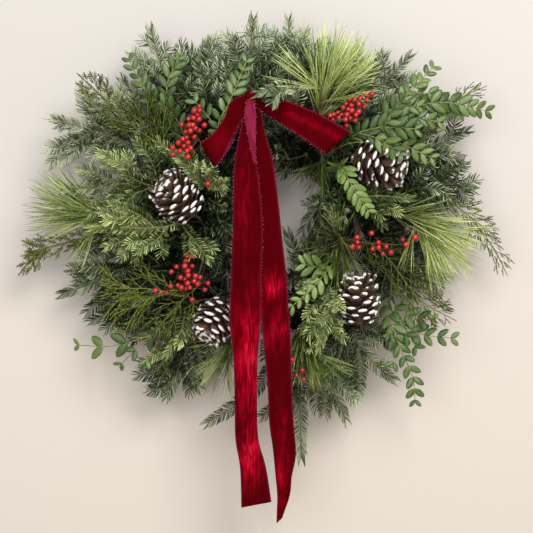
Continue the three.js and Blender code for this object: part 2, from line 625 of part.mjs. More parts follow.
function layStem(plant) {
  const isFree = (chain) => chain.rods().slice(2).every(([a, b]) => !isTaken(a, b, stemRadius, plant.name));
  const chains = stemShifts.map((shift) => stemChain(plant, ...shift));
  const chosen = chains.find(isFree);
  if (!chosen) console.log("no clear way:", plant.name);
  plant.stem = chosen || chains[0];
  plant.runShare = plant.stem.reached[2] / plant.stem.length;
  plant.stem.rods().forEach(([a, b]) => take(a, b, stemRadius, plant.name));
  const isCone = plant.kind === "cone";
  const facing = plant.stem.points[0].clone().setLength(ringRadius).sub(plant.stem.points[0]);
  plant.shapes = [bentRod(plant.stem, stemRadius, isCone ? stemRadius : stemTip, 4, facing)];
  plant.axes = isCone ? [] : [plant.stem];
}

// Where a side shoot leaves the stem: back from the point that lies nearest to its tip
function forkShare(stem, tip) {
  let best = 0;
  let least = Infinity;
  for (const share of stem.points.keys()) {
    for (const part of [0, 0.25, 0.5, 0.75]) {
      const here = Math.min((share + part) / (stem.points.length - 1), 1);
      const gap = stem.pointAt(here).distanceTo(tip);
      if (gap < least) [least, best] = [gap, here];
    }
  }
  return best - (0.9 * least) / stem.length;
}

function layShoots(plant) {
  if (!["fir", "firLight", "cedar", "boxwood"].includes(plant.kind)) return;
  for (const point of plant.shoots) {
    const tip = at(point);
    const share = THREE.MathUtils.clamp(forkShare(plant.stem, tip), plant.runShare + 0.1, 0.9);
    const root = plant.stem.pointAt(share);
    const ahead = plant.stem.tangentAt(share).multiplyScalar(root.distanceTo(tip) * 0.12);
    const bend = root.clone().lerp(tip, 0.45).add(ahead);
    const chains = [0, 6, -6, 12, -12, 18, -18].map((lift) => {
      const end = tip.clone().add(v(0, lift, 0));
      return new Chain(root.distanceTo(tip) > 2.2 * jointSpacing ? [root, bend.clone().add(v(0, lift, 0)), end] : [root, end]);
    });
    const chain = chains.find((each) => each.rods().every(([a, b]) => !isTaken(a, b, shootRadius, plant.name)));
    if (!chain) {
      console.log("no clear shoot:", plant.name, point.join(" "));
      continue;
    }
    chain.rods().forEach(([a, b]) => take(a, b, shootRadius, plant.name));
    plant.shapes.push(bentRod(chain, shootRadius, shootTip, 4));
    plant.axes.push(chain);
  }
}

// Tries a needle at a few turns and lengths, and adds the first that is clear.
function addNeedle(plant, root, tangent, lean, turn, length, radius) {
  for (const [extra, share] of [[0, 1], [0.5, 1], [-0.5, 1], [1, 1], [-1, 1], [0, 0.7], [0.8, 0.7], [-0.8, 0.7]]) {
    const out = aroundAxis(tangent, turn + extra);
    const way = tangent.clone().multiplyScalar(Math.cos(lean)).addScaledVector(out, Math.sin(lean));
    const tip = root.clone().addScaledVector(way, length * share);
    if (isTaken(root, tip, radius, plant.name, true)) continue;
    take(root.clone().lerp(tip, 0.3), tip, radius, plant.name, true);
    plant.shapes.push(needleShape(root, tip, radius));
    return true;
  }
  return false;
}

const bareShare = 0.22;
const goldenTurn = Math.PI * (3 - Math.sqrt(5));

function needleAxes(plant, spacing, length, leanStart, leanEnd) {
  plant.axes.forEach((axis, index) => {
    const reach = axis.length;
    const bare = index === 0 ? plant.runShare + bareShare * (1 - plant.runShare) : 0.2;
    const count = Math.max(3, Math.round((reach * (1 - bare)) / spacing));
    for (let i = 0; i < count; i++) {
      const share = bare + ((1 - bare) * (i + 0.5)) / count;
      const lean = degrees(THREE.MathUtils.lerp(leanStart, leanEnd, i / count) + spread(-6, 6));
      addNeedle(plant, axis.pointAt(share), axis.tangentAt(share), lean, i * goldenTurn + index,
        length * spread(0.85, 1.05), needleRadius);
    }
    const end = axis.pointAt(0.985);
    addNeedle(plant, end, axis.tangentAt(1), degrees(14), index, length * 0.8, needleRadius);
  });
}

function leafFir(plant) {
  needleAxes(plant, firSpacing, firNeedle, 62, 38);
}

// A pine's needles leave the last part of its stem in a long loose tuft.
function leafPine(plant) {
  for (const point of plant.shoots) {
    const tip = at(point);
    let root = plant.stem.pointAt(0.97);
    for (let share = plant.runShare + 0.3; share < 0.97; share += 0.02) {
      const here = plant.stem.pointAt(share);
      if (Math.abs(here.distanceTo(tip) - pineNeedle) < Math.abs(root.distanceTo(tip) - pineNeedle)) root = here;
    }
    const way = tip.clone().sub(root);
    const length = Math.min(way.length(), pineNeedle * 1.25);
    addNeedle(plant, root, way.normalize(), 0, 0, length, needleRadius);
  }
  const count = pineTuft;
  for (let i = 0; i < count; i++) {
    const share = THREE.MathUtils.lerp(plant.runShare + 0.45 * (1 - plant.runShare), 0.98, i / count);
    const lean = degrees(spread(18, 48));
    addNeedle(plant, plant.stem.pointAt(share), plant.stem.tangentAt(share), lean, i * goldenTurn,
      pineNeedle * spread(0.7, 1), needleRadius);
  }
}

// A cedar frond is flat: short scaly branchlets leave each axis to both sides in turn.
function leafCedar(plant) {
  plant.axes.forEach((axis, index) => {
    const reach = axis.length;
    const bare = index === 0 ? plant.runShare + 0.3 * (1 - plant.runShare) : 0.25;
    const count = Math.round((reach * (1 - bare)) / cedarSpacing);
    for (let i = 0; i < count; i++) {
      const share = bare + ((0.98 - bare) * i) / count;
      const side = i % 2 === 0 ? 0 : Math.PI;
      const length = spread(16, 26) * (1.1 - 0.5 * share);
      addNeedle(plant, axis.pointAt(share), axis.tangentAt(share), degrees(38), side + spread(-0.25, 0.25), length, needleRadius);
    }
  });
}

// Boxwood leaves stand in pairs, each pair turned a quarter from the last.
function leafBoxwood(plant) {
  plant.axes.forEach((axis, index) => {
    const reach = axis.length;
    const bare = index === 0 ? plant.runShare + 0.25 * (1 - plant.runShare) : 0.15;
    const pairs = Math.max(2, Math.round((reach * (1 - bare)) / leafSpacing));
    for (let i = 0; i <= pairs; i++) {
      const share = Math.min(bare + ((1 - bare) * i) / pairs, 0.985);
      const tangent = axis.tangentAt(share);
      for (const side of i < pairs ? [0, Math.PI] : [0]) {
        const turn = side + (i % 2) * (Math.PI / 2.4) + spread(-0.2, 0.2);
        addLeaf(plant, axis.pointAt(share), tangent, turn, leafLength * spread(0.85, 1.1));
      }
    }
  });
}

function addLeaf(plant, root, tangent, turn, length) {
  for (const [extra, lean] of [[0, 55], [0.5, 50], [-0.5, 50], [0, 30], [1, 45], [-1, 45]]) {
    const out = aroundAxis(tangent, turn + extra);
    const angle = degrees(lean);
    const way = tangent.clone().multiplyScalar(Math.cos(angle)).addScaledVector(out, Math.sin(angle));
    const tip = root.clone().addScaledVector(way, length);
    const across = new THREE.Vector3().crossVectors(way, tangent).normalize().multiplyScalar(leafWidth * 0.36);
    const low = root.clone().lerp(tip, 0.28);
    const high = root.clone().lerp(tip, 0.72);
    const rails = [
      [root, tip],
      [low.clone().add(across), high.clone().add(across)],
      [low.clone().sub(across), high.clone().sub(across)],
    ];
    if (rails.some(([a, b]) => isTaken(a, b, 1.6, plant.name, true))) continue;
    take(root.clone().lerp(tip, 0.3), tip, 1.6, plant.name, true);
    rails.slice(1).forEach(([a, b]) => take(a, b, 1.6, plant.name, true));
    plant.shapes.push(leafShape(root, tip, tangent, leafWidth));
    return true;
  }
  return false;
}

function layBerries(plant) {
  plant.shoots.forEach((point) => take(at(point), at(point), berryRadius, plant.name));
}

// Each berry stands on a short stalk that leaves the twig behind it.
function layStalks(plant) {
  plant.stalks = plant.shoots.map((point) => {
    const centre = at(point);
    const share = THREE.MathUtils.clamp(forkShare(plant.stem, centre) + 0.05, plant.runShare + 0.25, 0.97);
    return new Chain([plant.stem.pointAt(share), centre]);
  });
  plant.stalks.forEach((stalk) => take(...stalk.points, stalkRadius, plant.name));
}

function leafBerries(plant) {
  for (const stalk of plant.stalks) {
    const [, centre] = stalk.points;
    plant.shapes.push(bentRod(stalk, stalkRadius, stalkRadius, 3));
    plant.shapes.push(new THREE.IcosahedronGeometry(berryRadius, 0).translate(centre.x, centre.y, centre.z));
  }
}

// How wide a cone stands at a share of its length, as a part of its greatest radius
const coneProfile = (share) => Math.sin(Math.PI * Math.pow(0.13 + 0.83 * share, 0.8));

// A cone's scales, each from its root on the core to its tip, in one golden spiral from base to apex
function coneScales(plant) {
  const base = at(plant.base);
  const apex = at(plant.apex);
  const axis = apex.clone().sub(base).normalize();
  return Array.from({ length: scalesPerCone }, (_, i) => {
    const share = 0.04 + (0.9 * i) / (scalesPerCone - 1);
    const lean = degrees(THREE.MathUtils.lerp(78, 22, share));
    const out = aroundAxis(axis, i * goldenTurn);
    const way = axis.clone().multiplyScalar(Math.cos(lean)).addScaledVector(out, Math.sin(lean));
    const wide = new THREE.Vector3().crossVectors(way, axis).normalize();
    const root = base.clone().lerp(apex, share * 0.82 + 0.02).addScaledVector(out, 2);
    const reach = (plant.girth * coneProfile(share)) / Math.max(Math.sin(lean), 0.55);
    return { root, way, wide, reach };
  });
}

function layCone(plant) {
  take(at(plant.base), at(plant.apex), plant.girth * coreShare, plant.name);
  for (const { root, way, wide, reach } of coneScales(plant)) {
    const tip = root.clone().addScaledVector(way, reach);
    const side = wide.clone().multiplyScalar(scaleWidth * 0.8);
    take(root, tip, scaleThickness, plant.name);
    take(tip.clone().sub(side), tip.clone().add(side), scaleThickness, plant.name);
  }
}

// A scale is a thin wedge: its length follows one direction, and its flat face looks towards the apex.
function shapeCone(plant) {
  const base = at(plant.base);
  const apex = at(plant.apex);
  const girth = plant.girth * coreShare;
  const core = new THREE.SphereGeometry(1, 6, 4).scale(girth, base.distanceTo(apex) / 2, girth);
  plant.shapes.push(pointed(core, base.clone().lerp(apex, 0.5), apex.clone().sub(base)));
  for (const { root, way, wide, reach } of coneScales(plant)) {
    const flat = new THREE.Vector3().crossVectors(wide, way).normalize();
    const scale = new THREE.ConeGeometry(1, 1, 3).rotateX(Math.PI).translate(0, 0.5, 0);
    scale.scale(scaleWidth, reach, scaleThickness).applyMatrix4(new THREE.Matrix4().makeBasis(wide, way, flat));
    plant.shapes.push(scale.translate(root.x, root.y, root.z));
  }
}

buildRing();
buildBinding();
buildHangingLoop();
buildBowWire();
buildRibbon();

const leafing = {
  fir: leafFir,
  firLight: leafFir,
  pine: leafPine,
  cedar: leafCedar,
  boxwood: leafBoxwood,
  berry: leafBerries,
  cone: shapeCone,
};
const berryPlants = plants.filter((plant) => plant.kind === "berry");
plants.filter((plant) => plant.kind === "cone").forEach(layCone);
berryPlants.forEach(layBerries);
plants.forEach(layStem);
berryPlants.forEach(layStalks);
plants.forEach(layShoots);
for (const plant of plants) {
  leafing[plant.kind](plant);
  addPiece(plant.name, plant.kind, fused(plant.shapes));
}

// The loop's top, where the nail bears, becomes the origin.
wreath.position.set(0, -loopDepth, -(ringRadius + loopHeight - loopWire));

export default wreath;
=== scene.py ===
# A fresh evergreen wreath: fir, pine, cedar and boxwood bound on a wire ring, with cones, berries and a velvet bow.
# The scene is in metres. Places are written in millimetres as across, up and depth in front of the ring's centre.
import math
import random

import bmesh
import bpy
from mathutils import Matrix, Quaternion, Vector, noise


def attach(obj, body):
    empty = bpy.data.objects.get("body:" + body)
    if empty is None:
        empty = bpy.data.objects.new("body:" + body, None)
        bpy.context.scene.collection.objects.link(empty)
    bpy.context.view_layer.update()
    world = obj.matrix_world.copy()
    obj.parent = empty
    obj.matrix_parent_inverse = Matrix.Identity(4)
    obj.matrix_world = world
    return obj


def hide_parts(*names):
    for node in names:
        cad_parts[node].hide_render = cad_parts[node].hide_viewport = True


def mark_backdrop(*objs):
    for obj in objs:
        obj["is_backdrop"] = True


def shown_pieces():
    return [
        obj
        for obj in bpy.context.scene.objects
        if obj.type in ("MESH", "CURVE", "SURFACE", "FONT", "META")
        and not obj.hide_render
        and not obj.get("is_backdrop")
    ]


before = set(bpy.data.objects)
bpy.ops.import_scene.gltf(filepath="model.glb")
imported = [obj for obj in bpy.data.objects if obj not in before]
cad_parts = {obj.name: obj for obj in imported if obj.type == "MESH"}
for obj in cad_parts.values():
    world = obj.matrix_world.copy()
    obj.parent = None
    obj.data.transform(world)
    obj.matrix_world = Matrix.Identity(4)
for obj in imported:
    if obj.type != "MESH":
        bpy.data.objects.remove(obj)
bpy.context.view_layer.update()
scene = bpy.context.scene
front = Vector((0, -1, 0))

# the ring that everything is bound on, and where its centre lies under the hanging point
ring = {"radius": 127, "laneRadius": 4.55, "centreUp": -152.2, "centreDepth": 9.5, "bareEnd": 100,
        "seatPitch": 19, "seatArc": 17}
lanes = {"outer": 90, "front": 30, "heart": -30, "inner": -90}


def place(across, up, depth):
    return Vector((across, -depth - ring["centreDepth"], up + ring["centreUp"])) / 1000


def besideRing(angle, lane, distance):
    turn, side = math.radians(angle), math.radians(lane)
    radial = ring["radius"] + distance * math.sin(side)
    return place(radial * math.cos(turn), radial * math.sin(turn), distance * math.cos(side))


class Wire:
    # one output of a node, so that sums on it read as plain sums
    def __init__(self, tree, socket):
        self.tree = tree
        self.socket = socket

    def sum(self, operation, first, second):
        return addNode(self.tree, "ShaderNodeMath", {"operation": operation}, {0: first, 1: second})

    def __add__(self, other):
        return self.sum("ADD", self, other)

    def __radd__(self, other):
        return self.sum("ADD", other, self)

    def __sub__(self, other):
        return self.sum("SUBTRACT", self, other)

    def __rsub__(self, other):
        return self.sum("SUBTRACT", other, self)

    def __mul__(self, other):
        return self.sum("MULTIPLY", self, other)

    def __rmul__(self, other):
        return self.sum("MULTIPLY", other, self)

    def __pow__(self, other):
        return self.sum("POWER", self, other)

    def __gt__(self, other):
        return self.sum("GREATER_THAN", self, other)

    def within(self, low, high):
        # 0 below low, 1 above high, smooth between
        settings = {"interpolation_type": "SMOOTHSTEP"}
        return addNode(self.tree, "ShaderNodeMapRange", settings, {"Value": self, "From Min": low, "From Max": high})


def feed(tree, node, inputs):
    for name, value in inputs.items():
        if isinstance(value, Wire):
            tree.links.new(value.socket, node.inputs[name])
        else:
            node.inputs[name].default_value = value


def addNode(tree, kind, settings=None, inputs=None, output=0):
    node = tree.nodes.new(kind)
    for name, value in (settings or {}).items():
        if name == "stops":
            elements = node.color_ramp.elements
            while len(elements) < len(value):
                elements.new(0.5)
            for element, (position, colour) in zip(elements, value):
                element.position = position
                element.color = (*colour, 1)
        else:
            setattr(node, name, value)
    feed(tree, node, inputs or {})
    return Wire(tree, node.outputs[output])


def blendColours(tree, factor, low, high):
    # low and high are colours or wires, and factor is 0 to 1
    values = [value if isinstance(value, Wire) else (*value, 1) for value in (low, high)]
    return addNode(tree, "ShaderNodeMix", {"data_type": "RGBA"}, {0: factor, 6: values[0], 7: values[1]}, 2)


def readAttribute(tree, name):
    return addNode(tree, "ShaderNodeAttribute", {"attribute_name": name}, output="Fac")


def objectSpot(tree):
    return addNode(tree, "ShaderNodeTexCoord", output="Object")


def noiseAt(tree, spot, scale, detail, roughness):
    values = {"Vector": spot, "Scale": scale, "Detail": detail, "Roughness": roughness}
    return addNode(tree, "ShaderNodeTexNoise", inputs=values)


def cloud(tree, scale, detail=2, roughness=0.5):
    return noiseAt(tree, objectSpot(tree), scale, detail, roughness)


def ramp(tree, factor, stops):
    return addNode(tree, "ShaderNodeValToRGB", {"stops": stops}, {0: factor})


def finish(name, paint):
    # paint gets the tree and returns what goes into the shader's sockets
    material = bpy.data.materials.new(name)
    material.use_nodes = True
    tree = material.node_tree
    feed(tree, tree.nodes["Principled BSDF"], paint(tree))
    return material


def bumped(tree, height, strength, distance):
    return addNode(tree, "ShaderNodeBump", inputs={"Strength": strength, "Distance": distance, "Height": height})


# the greens, each as dark, middle and light
greens = {
    "fir": [(0.006, 0.012, 0.004), (0.084, 0.126, 0.046), (0.700, 0.790, 0.500)],
    "firLight": [(0.007, 0.014, 0.003), (0.084, 0.130, 0.030), (0.740, 0.860, 0.360)],
    "pine": [(0.010, 0.018, 0.002), (0.215, 0.300, 0.052), (0.860, 0.960, 0.380)],
    "cedar": [(0.014, 0.022, 0.002), (0.200, 0.235, 0.018), (0.640, 0.640, 0.110)],
    "boxwood": [(0.006, 0.016, 0.003), (0.040, 0.080, 0.015), (0.190, 0.270, 0.072)],
}


# in metres: where the painted shade round the ring ends, how deep it lies, and where the painted light on the open
# edge of the wreath begins
paintedShadeValues = {"shade": (0.150, 0.240), "depth": (-0.105, -0.050), "open": (0.190, 0.310)}


def paintedShadeAndEdgeLight(tree):
    # painted shade: how dark a spot is painted among the stems at the ring; painted light: how much lighter it is
    # painted out at the wreath's open edge
    spot = objectSpot(tree)
    x, y, z = (addNode(tree, "ShaderNodeSeparateXYZ", inputs={"Vector": spot}, output=axis) for axis in "XYZ")
    up = z - ring["centreUp"] / 1000
    reach = (x * x + up * up) ** 0.5
    # painted shade: near the ring and deep towards the wall
    paintedShade = (1 - reach.within(*paintedShadeValues["shade"])) * y.within(*paintedShadeValues["depth"])
    # painted light: grows out towards the wreath's open edge
    return paintedShade, reach.within(*paintedShadeValues["open"])


# how much each thing lightens a needle, the painted light on the wreath's open edge among them, and where the three
# greens stand on that scale
needleLook = {"tone": 0.90, "patch": 0.20, "rise": 0.15, "edge": 0.65, "outside": 0.16, "less": 0.61,
              "stops": (0.26, 0.62, 0.95)}


def needleFinish(name, colours, roughness, paleRoot):
    dark, middle, light = colours
    look = needleLook

    def paint(tree):
        tone = readAttribute(tree, "tone")
        rise = readAttribute(tree, "rise")
        edge = readAttribute(tree, "edge")
        patch = cloud(tree, 18).within(0.35, 0.7)
        paintedShade, outside = paintedShadeAndEdgeLight(tree)
        # the level takes painted light from the wreath's open edge
        level = (tone * look["tone"] + patch * look["patch"] + rise * look["rise"]
                 + edge * look["edge"] + outside * look["outside"] - look["less"])
        colour = ramp(tree, level, list(zip(look["stops"], colours)))
        streak = cloud(tree, 900, 1)
        colour = blendColours(tree, streak * 0.3, colour, tuple(0.35 * c for c in middle))
        colour = blendColours(tree, (1 - rise).within(0.72, 1) * paleRoot, colour, light)
        # painted shade: needles deep among the stems at the ring are darkened
        colour = blendColours(tree, paintedShade * 0.85, colour, tuple(0.5 * c for c in dark))
        return {"Base Color": colour, "Roughness": roughness + streak * 0.15, "Specular IOR Level": 0.12,
                "Normal": bumped(tree, streak, 0.3, 0.0003)}

    return finish(name, paint)


def barkFinish(name, dark, light):
    def paint(tree):
        grain = cloud(tree, 260, 4, 0.65)
        colour = blendColours(tree, grain.within(0.3, 0.7), dark, light)
        return {"Base Color": colour, "Roughness": 0.75 + grain * 0.15, "Normal": bumped(tree, grain, 0.6, 0.0006)}

    return finish(name, paint)


wireColours = {"paint": (0.030, 0.052, 0.026), "steel": (0.20, 0.19, 0.17)}


def wirePaint(tree):
    wear = cloud(tree, 420, 5, 0.7).within(0.56, 0.7)
    colour = blendColours(tree, wear, wireColours["paint"], wireColours["steel"])
    return {"Base Color": colour, "Roughness": 0.42 + wear * 0.2, "Metallic": wear * 0.8,
            "Normal": bumped(tree, wear, 0.2, 0.0002)}


twigFinishes = {
    "fir": barkFinish("firTwigBark", (0.050, 0.044, 0.020), (0.15, 0.14, 0.07)),
    "firLight": barkFinish("lightFirTwigBark", (0.07, 0.055, 0.022), (0.22, 0.19, 0.08)),
    "pine": barkFinish("pineTwigBark", (0.06, 0.04, 0.02), (0.20, 0.15, 0.07)),
    "cedar": barkFinish("cedarTwigBark", (0.07, 0.10, 0.012), (0.24, 0.26, 0.04)),
    "boxwood": barkFinish("boxwoodTwigBark", (0.09, 0.11, 0.02), (0.28, 0.30, 0.08)),
    "berry": barkFinish("berryTwigBark", (0.035, 0.022, 0.014), (0.11, 0.075, 0.045)),
    "cone": barkFinish("coneStalkBark", (0.03, 0.018, 0.011), (0.11, 0.068, 0.04)),
}
leafFinishes = {
    "fir": needleFinish("firNeedles", greens["fir"], 0.42, 0.2),
    "firLight": needleFinish("lightFirNeedles", greens["firLight"], 0.42, 0.2),
    "pine": needleFinish("pineNeedles", greens["pine"], 0.38, 0.25),
    "cedar": needleFinish("cedarScales", greens["cedar"], 0.5, 0.0),
}


def boxwoodPaint(tree):
    dark, middle, light = greens["boxwood"]
    tone = readAttribute(tree, "tone")
    rib = readAttribute(tree, "rib")
    under = readAttribute(tree, "under")
    speck = cloud(tree, 240, 3)
    colour = ramp(tree, tone * 0.75 + speck * 0.3, [(0.1, dark), (0.5, middle), (0.95, light)])
    colour = blendColours(tree, rib.within(0.78, 1) * 0.35, colour, (0.24, 0.33, 0.10))
    colour = blendColours(tree, under * 0.7, colour, (0.20, 0.28, 0.10))
    # painted shade: leaves deep among the stems at the ring are darkened
    colour = blendColours(tree, paintedShadeAndEdgeLight(tree)[0] * 0.7, colour, dark)
    return {"Base Color": colour, "Roughness": 0.34 + under * 0.3 + speck * 0.12, "Coat Weight": 0.05,
            "Normal": bumped(tree, speck + rib * 0.6, 0.35, 0.0008), "Specular IOR Level": 0.4}


berryColours = {"dark": (0.22, 0.003, 0.005), "red": (0.44, 0.009, 0.008), "speck": (0.52, 0.04, 0.02),
                "end": (0.030, 0.012, 0.008)}


def berryPaint(tree):
    rise = readAttribute(tree, "rise")
    tone = readAttribute(tree, "tone")
    speck = cloud(tree, 700, 3)
    colour = blendColours(tree, tone, berryColours["dark"], berryColours["red"])
    colour = blendColours(tree, speck.within(0.6, 0.75) * 0.2, colour, berryColours["speck"])
    colour = blendColours(tree, rise.within(0.965, 0.99), colour, berryColours["end"])
    return {"Base Color": colour, "Roughness": 0.3 + speck * 0.12, "Coat Weight": 0.15,
            "Normal": bumped(tree, speck, 0.15, 0.0003)}


coneColours = {"dark": (0.010, 0.005, 0.003), "brown": (0.105, 0.052, 0.026), "pale": (0.24, 0.130, 0.070),
               "dipped": (0.74, 0.73, 0.70)}


def conePaint(tree):
    rise = readAttribute(tree, "rise")
    tone = readAttribute(tree, "tone")
    grain = cloud(tree, 380, 5, 0.65)
    ragged = cloud(tree, 150, 3)  # the dipped white ends in a ragged line
    brown = blendColours(tree, grain.within(0.3, 0.72), coneColours["dark"], coneColours["brown"])
    brown = blendColours(tree, tone * 0.25, brown, coneColours["pale"])
    white = (rise + ragged * 0.30 + tone * 0.10).within(1.14, 1.18)
    colour = blendColours(tree, white, brown, coneColours["dipped"])
    return {"Base Color": colour, "Roughness": 0.62 + grain * 0.2,
            "Normal": bumped(tree, grain + white * 0.4, 0.7, 0.0011)}


leafFinishes["boxwood"] = finish("boxwoodLeaves", boxwoodPaint)
leafFinishes["berry"] = finish("berrySkin", berryPaint)
leafFinishes["cone"] = finish("coneScales", conePaint)
print("finishes made")


def meshObject(name, vertices, faces, numbers=None, edges=()):
    mesh = bpy.data.meshes.new(name)
    mesh.from_pydata(vertices, edges, faces)
    for key, values in (numbers or {}).items():
        mesh.attributes.new(key, "FLOAT", "POINT").data.foreach_set("value", values)
    thing = bpy.data.objects.new(name, mesh)
    scene.collection.objects.link(thing)
    return thing


def leafObject(name, vertices, faces, numbers):
    # a shape that repeats, made once along +Z from its root; its faces are marked to tell leaf from twig
    thing = meshObject(name, vertices, faces, numbers)
    thing.data.attributes.new("leafy", "BOOLEAN", "FACE").data.foreach_set("value", [True] * len(faces))
    return thing


def lathedBlade(rows):
    # rows are (height, [outline points]); the first and last close on a point or a face
    vertices, faces, heights, starts = [], [], [], []
    for height, outline in rows:
        starts.append(len(vertices))
        vertices += [(x, y, height) for x, y in outline]
        heights += [height] * len(outline)
    for start, after, (_, low), (_, high) in zip(starts, starts[1:], rows, rows[1:]):
        around = max(len(low), len(high))
        for i in range(around):
            j = (i + 1) % around
            if len(low) == 1:
                faces.append((start, after + j, after + i))
            elif len(high) == 1:
                faces.append((start + i, start + j, after))
            else:
                faces.append((start + i, start + j, after + j, after + i))
    if len(rows[0][1]) > 1:
        faces.append(tuple(reversed(range(len(rows[0][1])))))
    if len(rows[-1][1]) > 1:
        faces.append(tuple(range(starts[-1], len(vertices))))
    return vertices, faces, heights


def bunchOfNeedles(name, values, tilts):
    # each needle is three-sided and curves towards the twig's tip
    vertices, faces, rises, edges = [], [], [], []
    length, width, joints = values["length"] / 1000, values["width"] / 1000, values["joints"]
    for tilt, turn in tilts:
        rows = []
        for share in (i / joints for i in range(joints)):
            half = width * 0.5 * (1 if share > 0 else 0.6)
            sag = values["bend"] / 1000 * share**2
            corners = [(0, sag - half), (0, sag + half), (width * values["ridge"], sag)]
            rows.append((values["blunt"] * share * length, corners))
            edges += [0, 1, 0.5]
        rows.append((length, [(0, values["bend"] / 1000)]))
        edges.append(0.5)
        local, sides, heights = lathedBlade(rows)
        swing = Matrix.Rotation(turn, 4, "Z") @ Matrix.Rotation(tilt, 4, "X")
        faces += [tuple(i + len(vertices) for i in face) for face in sides]
        vertices += [swing @ Vector(v) for v in local]
        rises += [h / length for h in heights]
    return leafObject(name, vertices, faces, {"rise": rises, "edge": edges})


def scaleBead(name, values):
    half, wide, thick = (values[key] / 2000 for key in ("length", "width", "thickness"))
    length = half * 2
    rows = [(0, [(0, 0)]), (half * 1.1, [(wide, 0), (0, thick), (-wide, 0), (0, -thick)]), (length, [(0, 0)])]
    vertices, faces, heights = lathedBlade(rows)
    return leafObject(name, vertices, faces, {"rise": [h / length for h in heights]})


def leafPair(name, values):
    # two opposite leaves: a stalk end, a crowned blade with its rib sunk in, and a blunt tip
    vertices, faces, ribs, unders, rises = [], [], [], [], []
    length, width = values["length"] / 1000, values["width"] / 1000
    shares = [(0.0, 0.06), (0.14, 0.55), (0.34, 0.96), (0.56, 1.0), (0.78, 0.78), (0.93, 0.42), (1.0, 0.0)]
    for side in (1, -1):
        base = len(vertices)
        for share, wide in shares:
            half = width / 2 * wide
            arch = -values["arch"] / 1000 * share**2
            cup = values["cup"] / 1000 * wide
            thick = values["thickness"] / 1000 * (0.4 + 0.6 * wide)
            rim, crown = arch + cup * 0.1, arch + cup + thick
            row = [(-half, rim), (-half * 0.5, crown), (0, arch + thick), (half * 0.5, crown), (half, rim),
                   (0, arch - thick * 0.4)]
            row = row if wide > 0 else [(0, arch)]
            vertices += [(x, y, share * length) for x, y in row]
            ribs += [0, 0, 1, 0, 0, 0][: len(row)]
            unders += [0.3, 0, 0, 0, 0.3, 1][: len(row)]
            rises += [share] * len(row)
        for i in range(len(shares) - 2):
            a, b = base + 6 * i, base + 6 * i + 6
            faces += [(a + j, b + j, b + (j + 1) % 6, a + (j + 1) % 6) for j in range(6)]
        a = base + 6 * (len(shares) - 2)
        faces += [(a + j, a + 6, a + (j + 1) % 6) for j in range(6)]
        faces.append(tuple(range(base, base + 6)))
        swing = Matrix.Rotation(math.radians(values["lean"] * side), 4, "Y")
        vertices[base:] = [swing @ Vector(v) for v in vertices[base:]]
    return leafObject(name, vertices, faces, {"rib": ribs, "under": unders, "rise": rises})


def coneScale(name):
    # unit size: a wedge that widens to a thick blunt end with a raised lip
    profile = [(0, 0.34, 0.18, 0), (0.42, 0.72, 0.16, 0.0), (0.74, 0.98, 0.22, 0.02), (0.91, 1.0, 0.42, 0.05),
               (1.0, 0.62, 0.30, 0.09)]
    turns = [i * math.pi / 4 for i in range(8)]
    rows = []
    for height, wide, thick, lift in profile:
        rows.append((height, [(math.cos(a) * wide * 0.5, lift + math.sin(a) * thick * 0.5) for a in turns]))
    vertices, faces, heights = lathedBlade(rows)
    return leafObject(name, vertices, faces, {"rise": heights})


def berryBall(name, radius):
    # a ball with a dimple at its dark end
    around, levels, rows = 12, 8, []
    turns = [2 * math.pi * k / around for k in range(around)]
    for i in range(levels + 1):
        polar = math.pi * i / levels
        wide, high = radius * math.sin(polar), -radius * math.cos(polar)
        dimple = 0.10 * radius if i == levels else 0
        outline = [(wide * math.cos(a), wide * math.sin(a)) for a in turns]
        rows.append((high - dimple, outline if 0 < i < levels else [(0, 0)]))
    vertices, faces, heights = lathedBlade(rows)
    return leafObject(name, vertices, faces, {"rise": [(h / radius + 1) / 2 for h in heights]})


def fixNormals(thing):
    work = bmesh.new()
    work.from_mesh(thing.data)
    bmesh.ops.recalc_face_normals(work, faces=work.faces)
    work.to_mesh(thing.data)
    work.free()
    return thing


# the sizes of the repeated leaves, in millimetres
needleValues = {"length": 16.5, "width": 2.0, "ridge": 0.45, "bend": 2.8, "blunt": 1.55, "joints": 2}
shortNeedleValues = {"length": 14.5, "width": 1.9, "ridge": 0.45, "bend": 2.4, "blunt": 1.55, "joints": 2}
pineValues = {"length": 92, "width": 0.95, "ridge": 0.5, "bend": 9, "blunt": 1.05, "joints": 4}
beadValues = {"length": 3.8, "width": 2.1, "thickness": 1.2}
leafValues = {"length": 25, "width": 12, "arch": 2.8, "cup": 0.9, "thickness": 0.5, "lean": 40}
berryRadius = 4.1 / 1000

shapes = {
    "fir": bunchOfNeedles("firNeedleShape", needleValues, [(0, 0)]),
    "firLight": bunchOfNeedles("lightFirNeedleShape", shortNeedleValues, [(0, 0)]),
    "pine": bunchOfNeedles("pineNeedleShape", pineValues, [(-0.10, 0.3), (0.07, 2.4), (0.10, 4.5)]),
    "cedar": scaleBead("cedarScaleShape", beadValues),
    "boxwood": leafPair("boxwoodPairShape", leafValues),
    "cone": coneScale("coneScaleShape"),
    "berry": berryBall("berryShape", berryRadius),
}
for shape in shapes.values():
    fixNormals(shape)


def openTree(name, sockets):
    tree = bpy.data.node_groups.new(name, "GeometryNodeTree")
    tree.interface.new_socket("Geometry", in_out="INPUT", socket_type="NodeSocketGeometry")
    for label, kind in sockets.items():
        tree.interface.new_socket(label, in_out="INPUT", socket_type="NodeSocket" + kind)
    tree.interface.new_socket("Geometry", in_out="OUTPUT", socket_type="NodeSocketGeometry")
    entry = tree.nodes.new("NodeGroupInput")
    return tree, {socket.name: Wire(tree, socket) for socket in entry.outputs if socket.name}


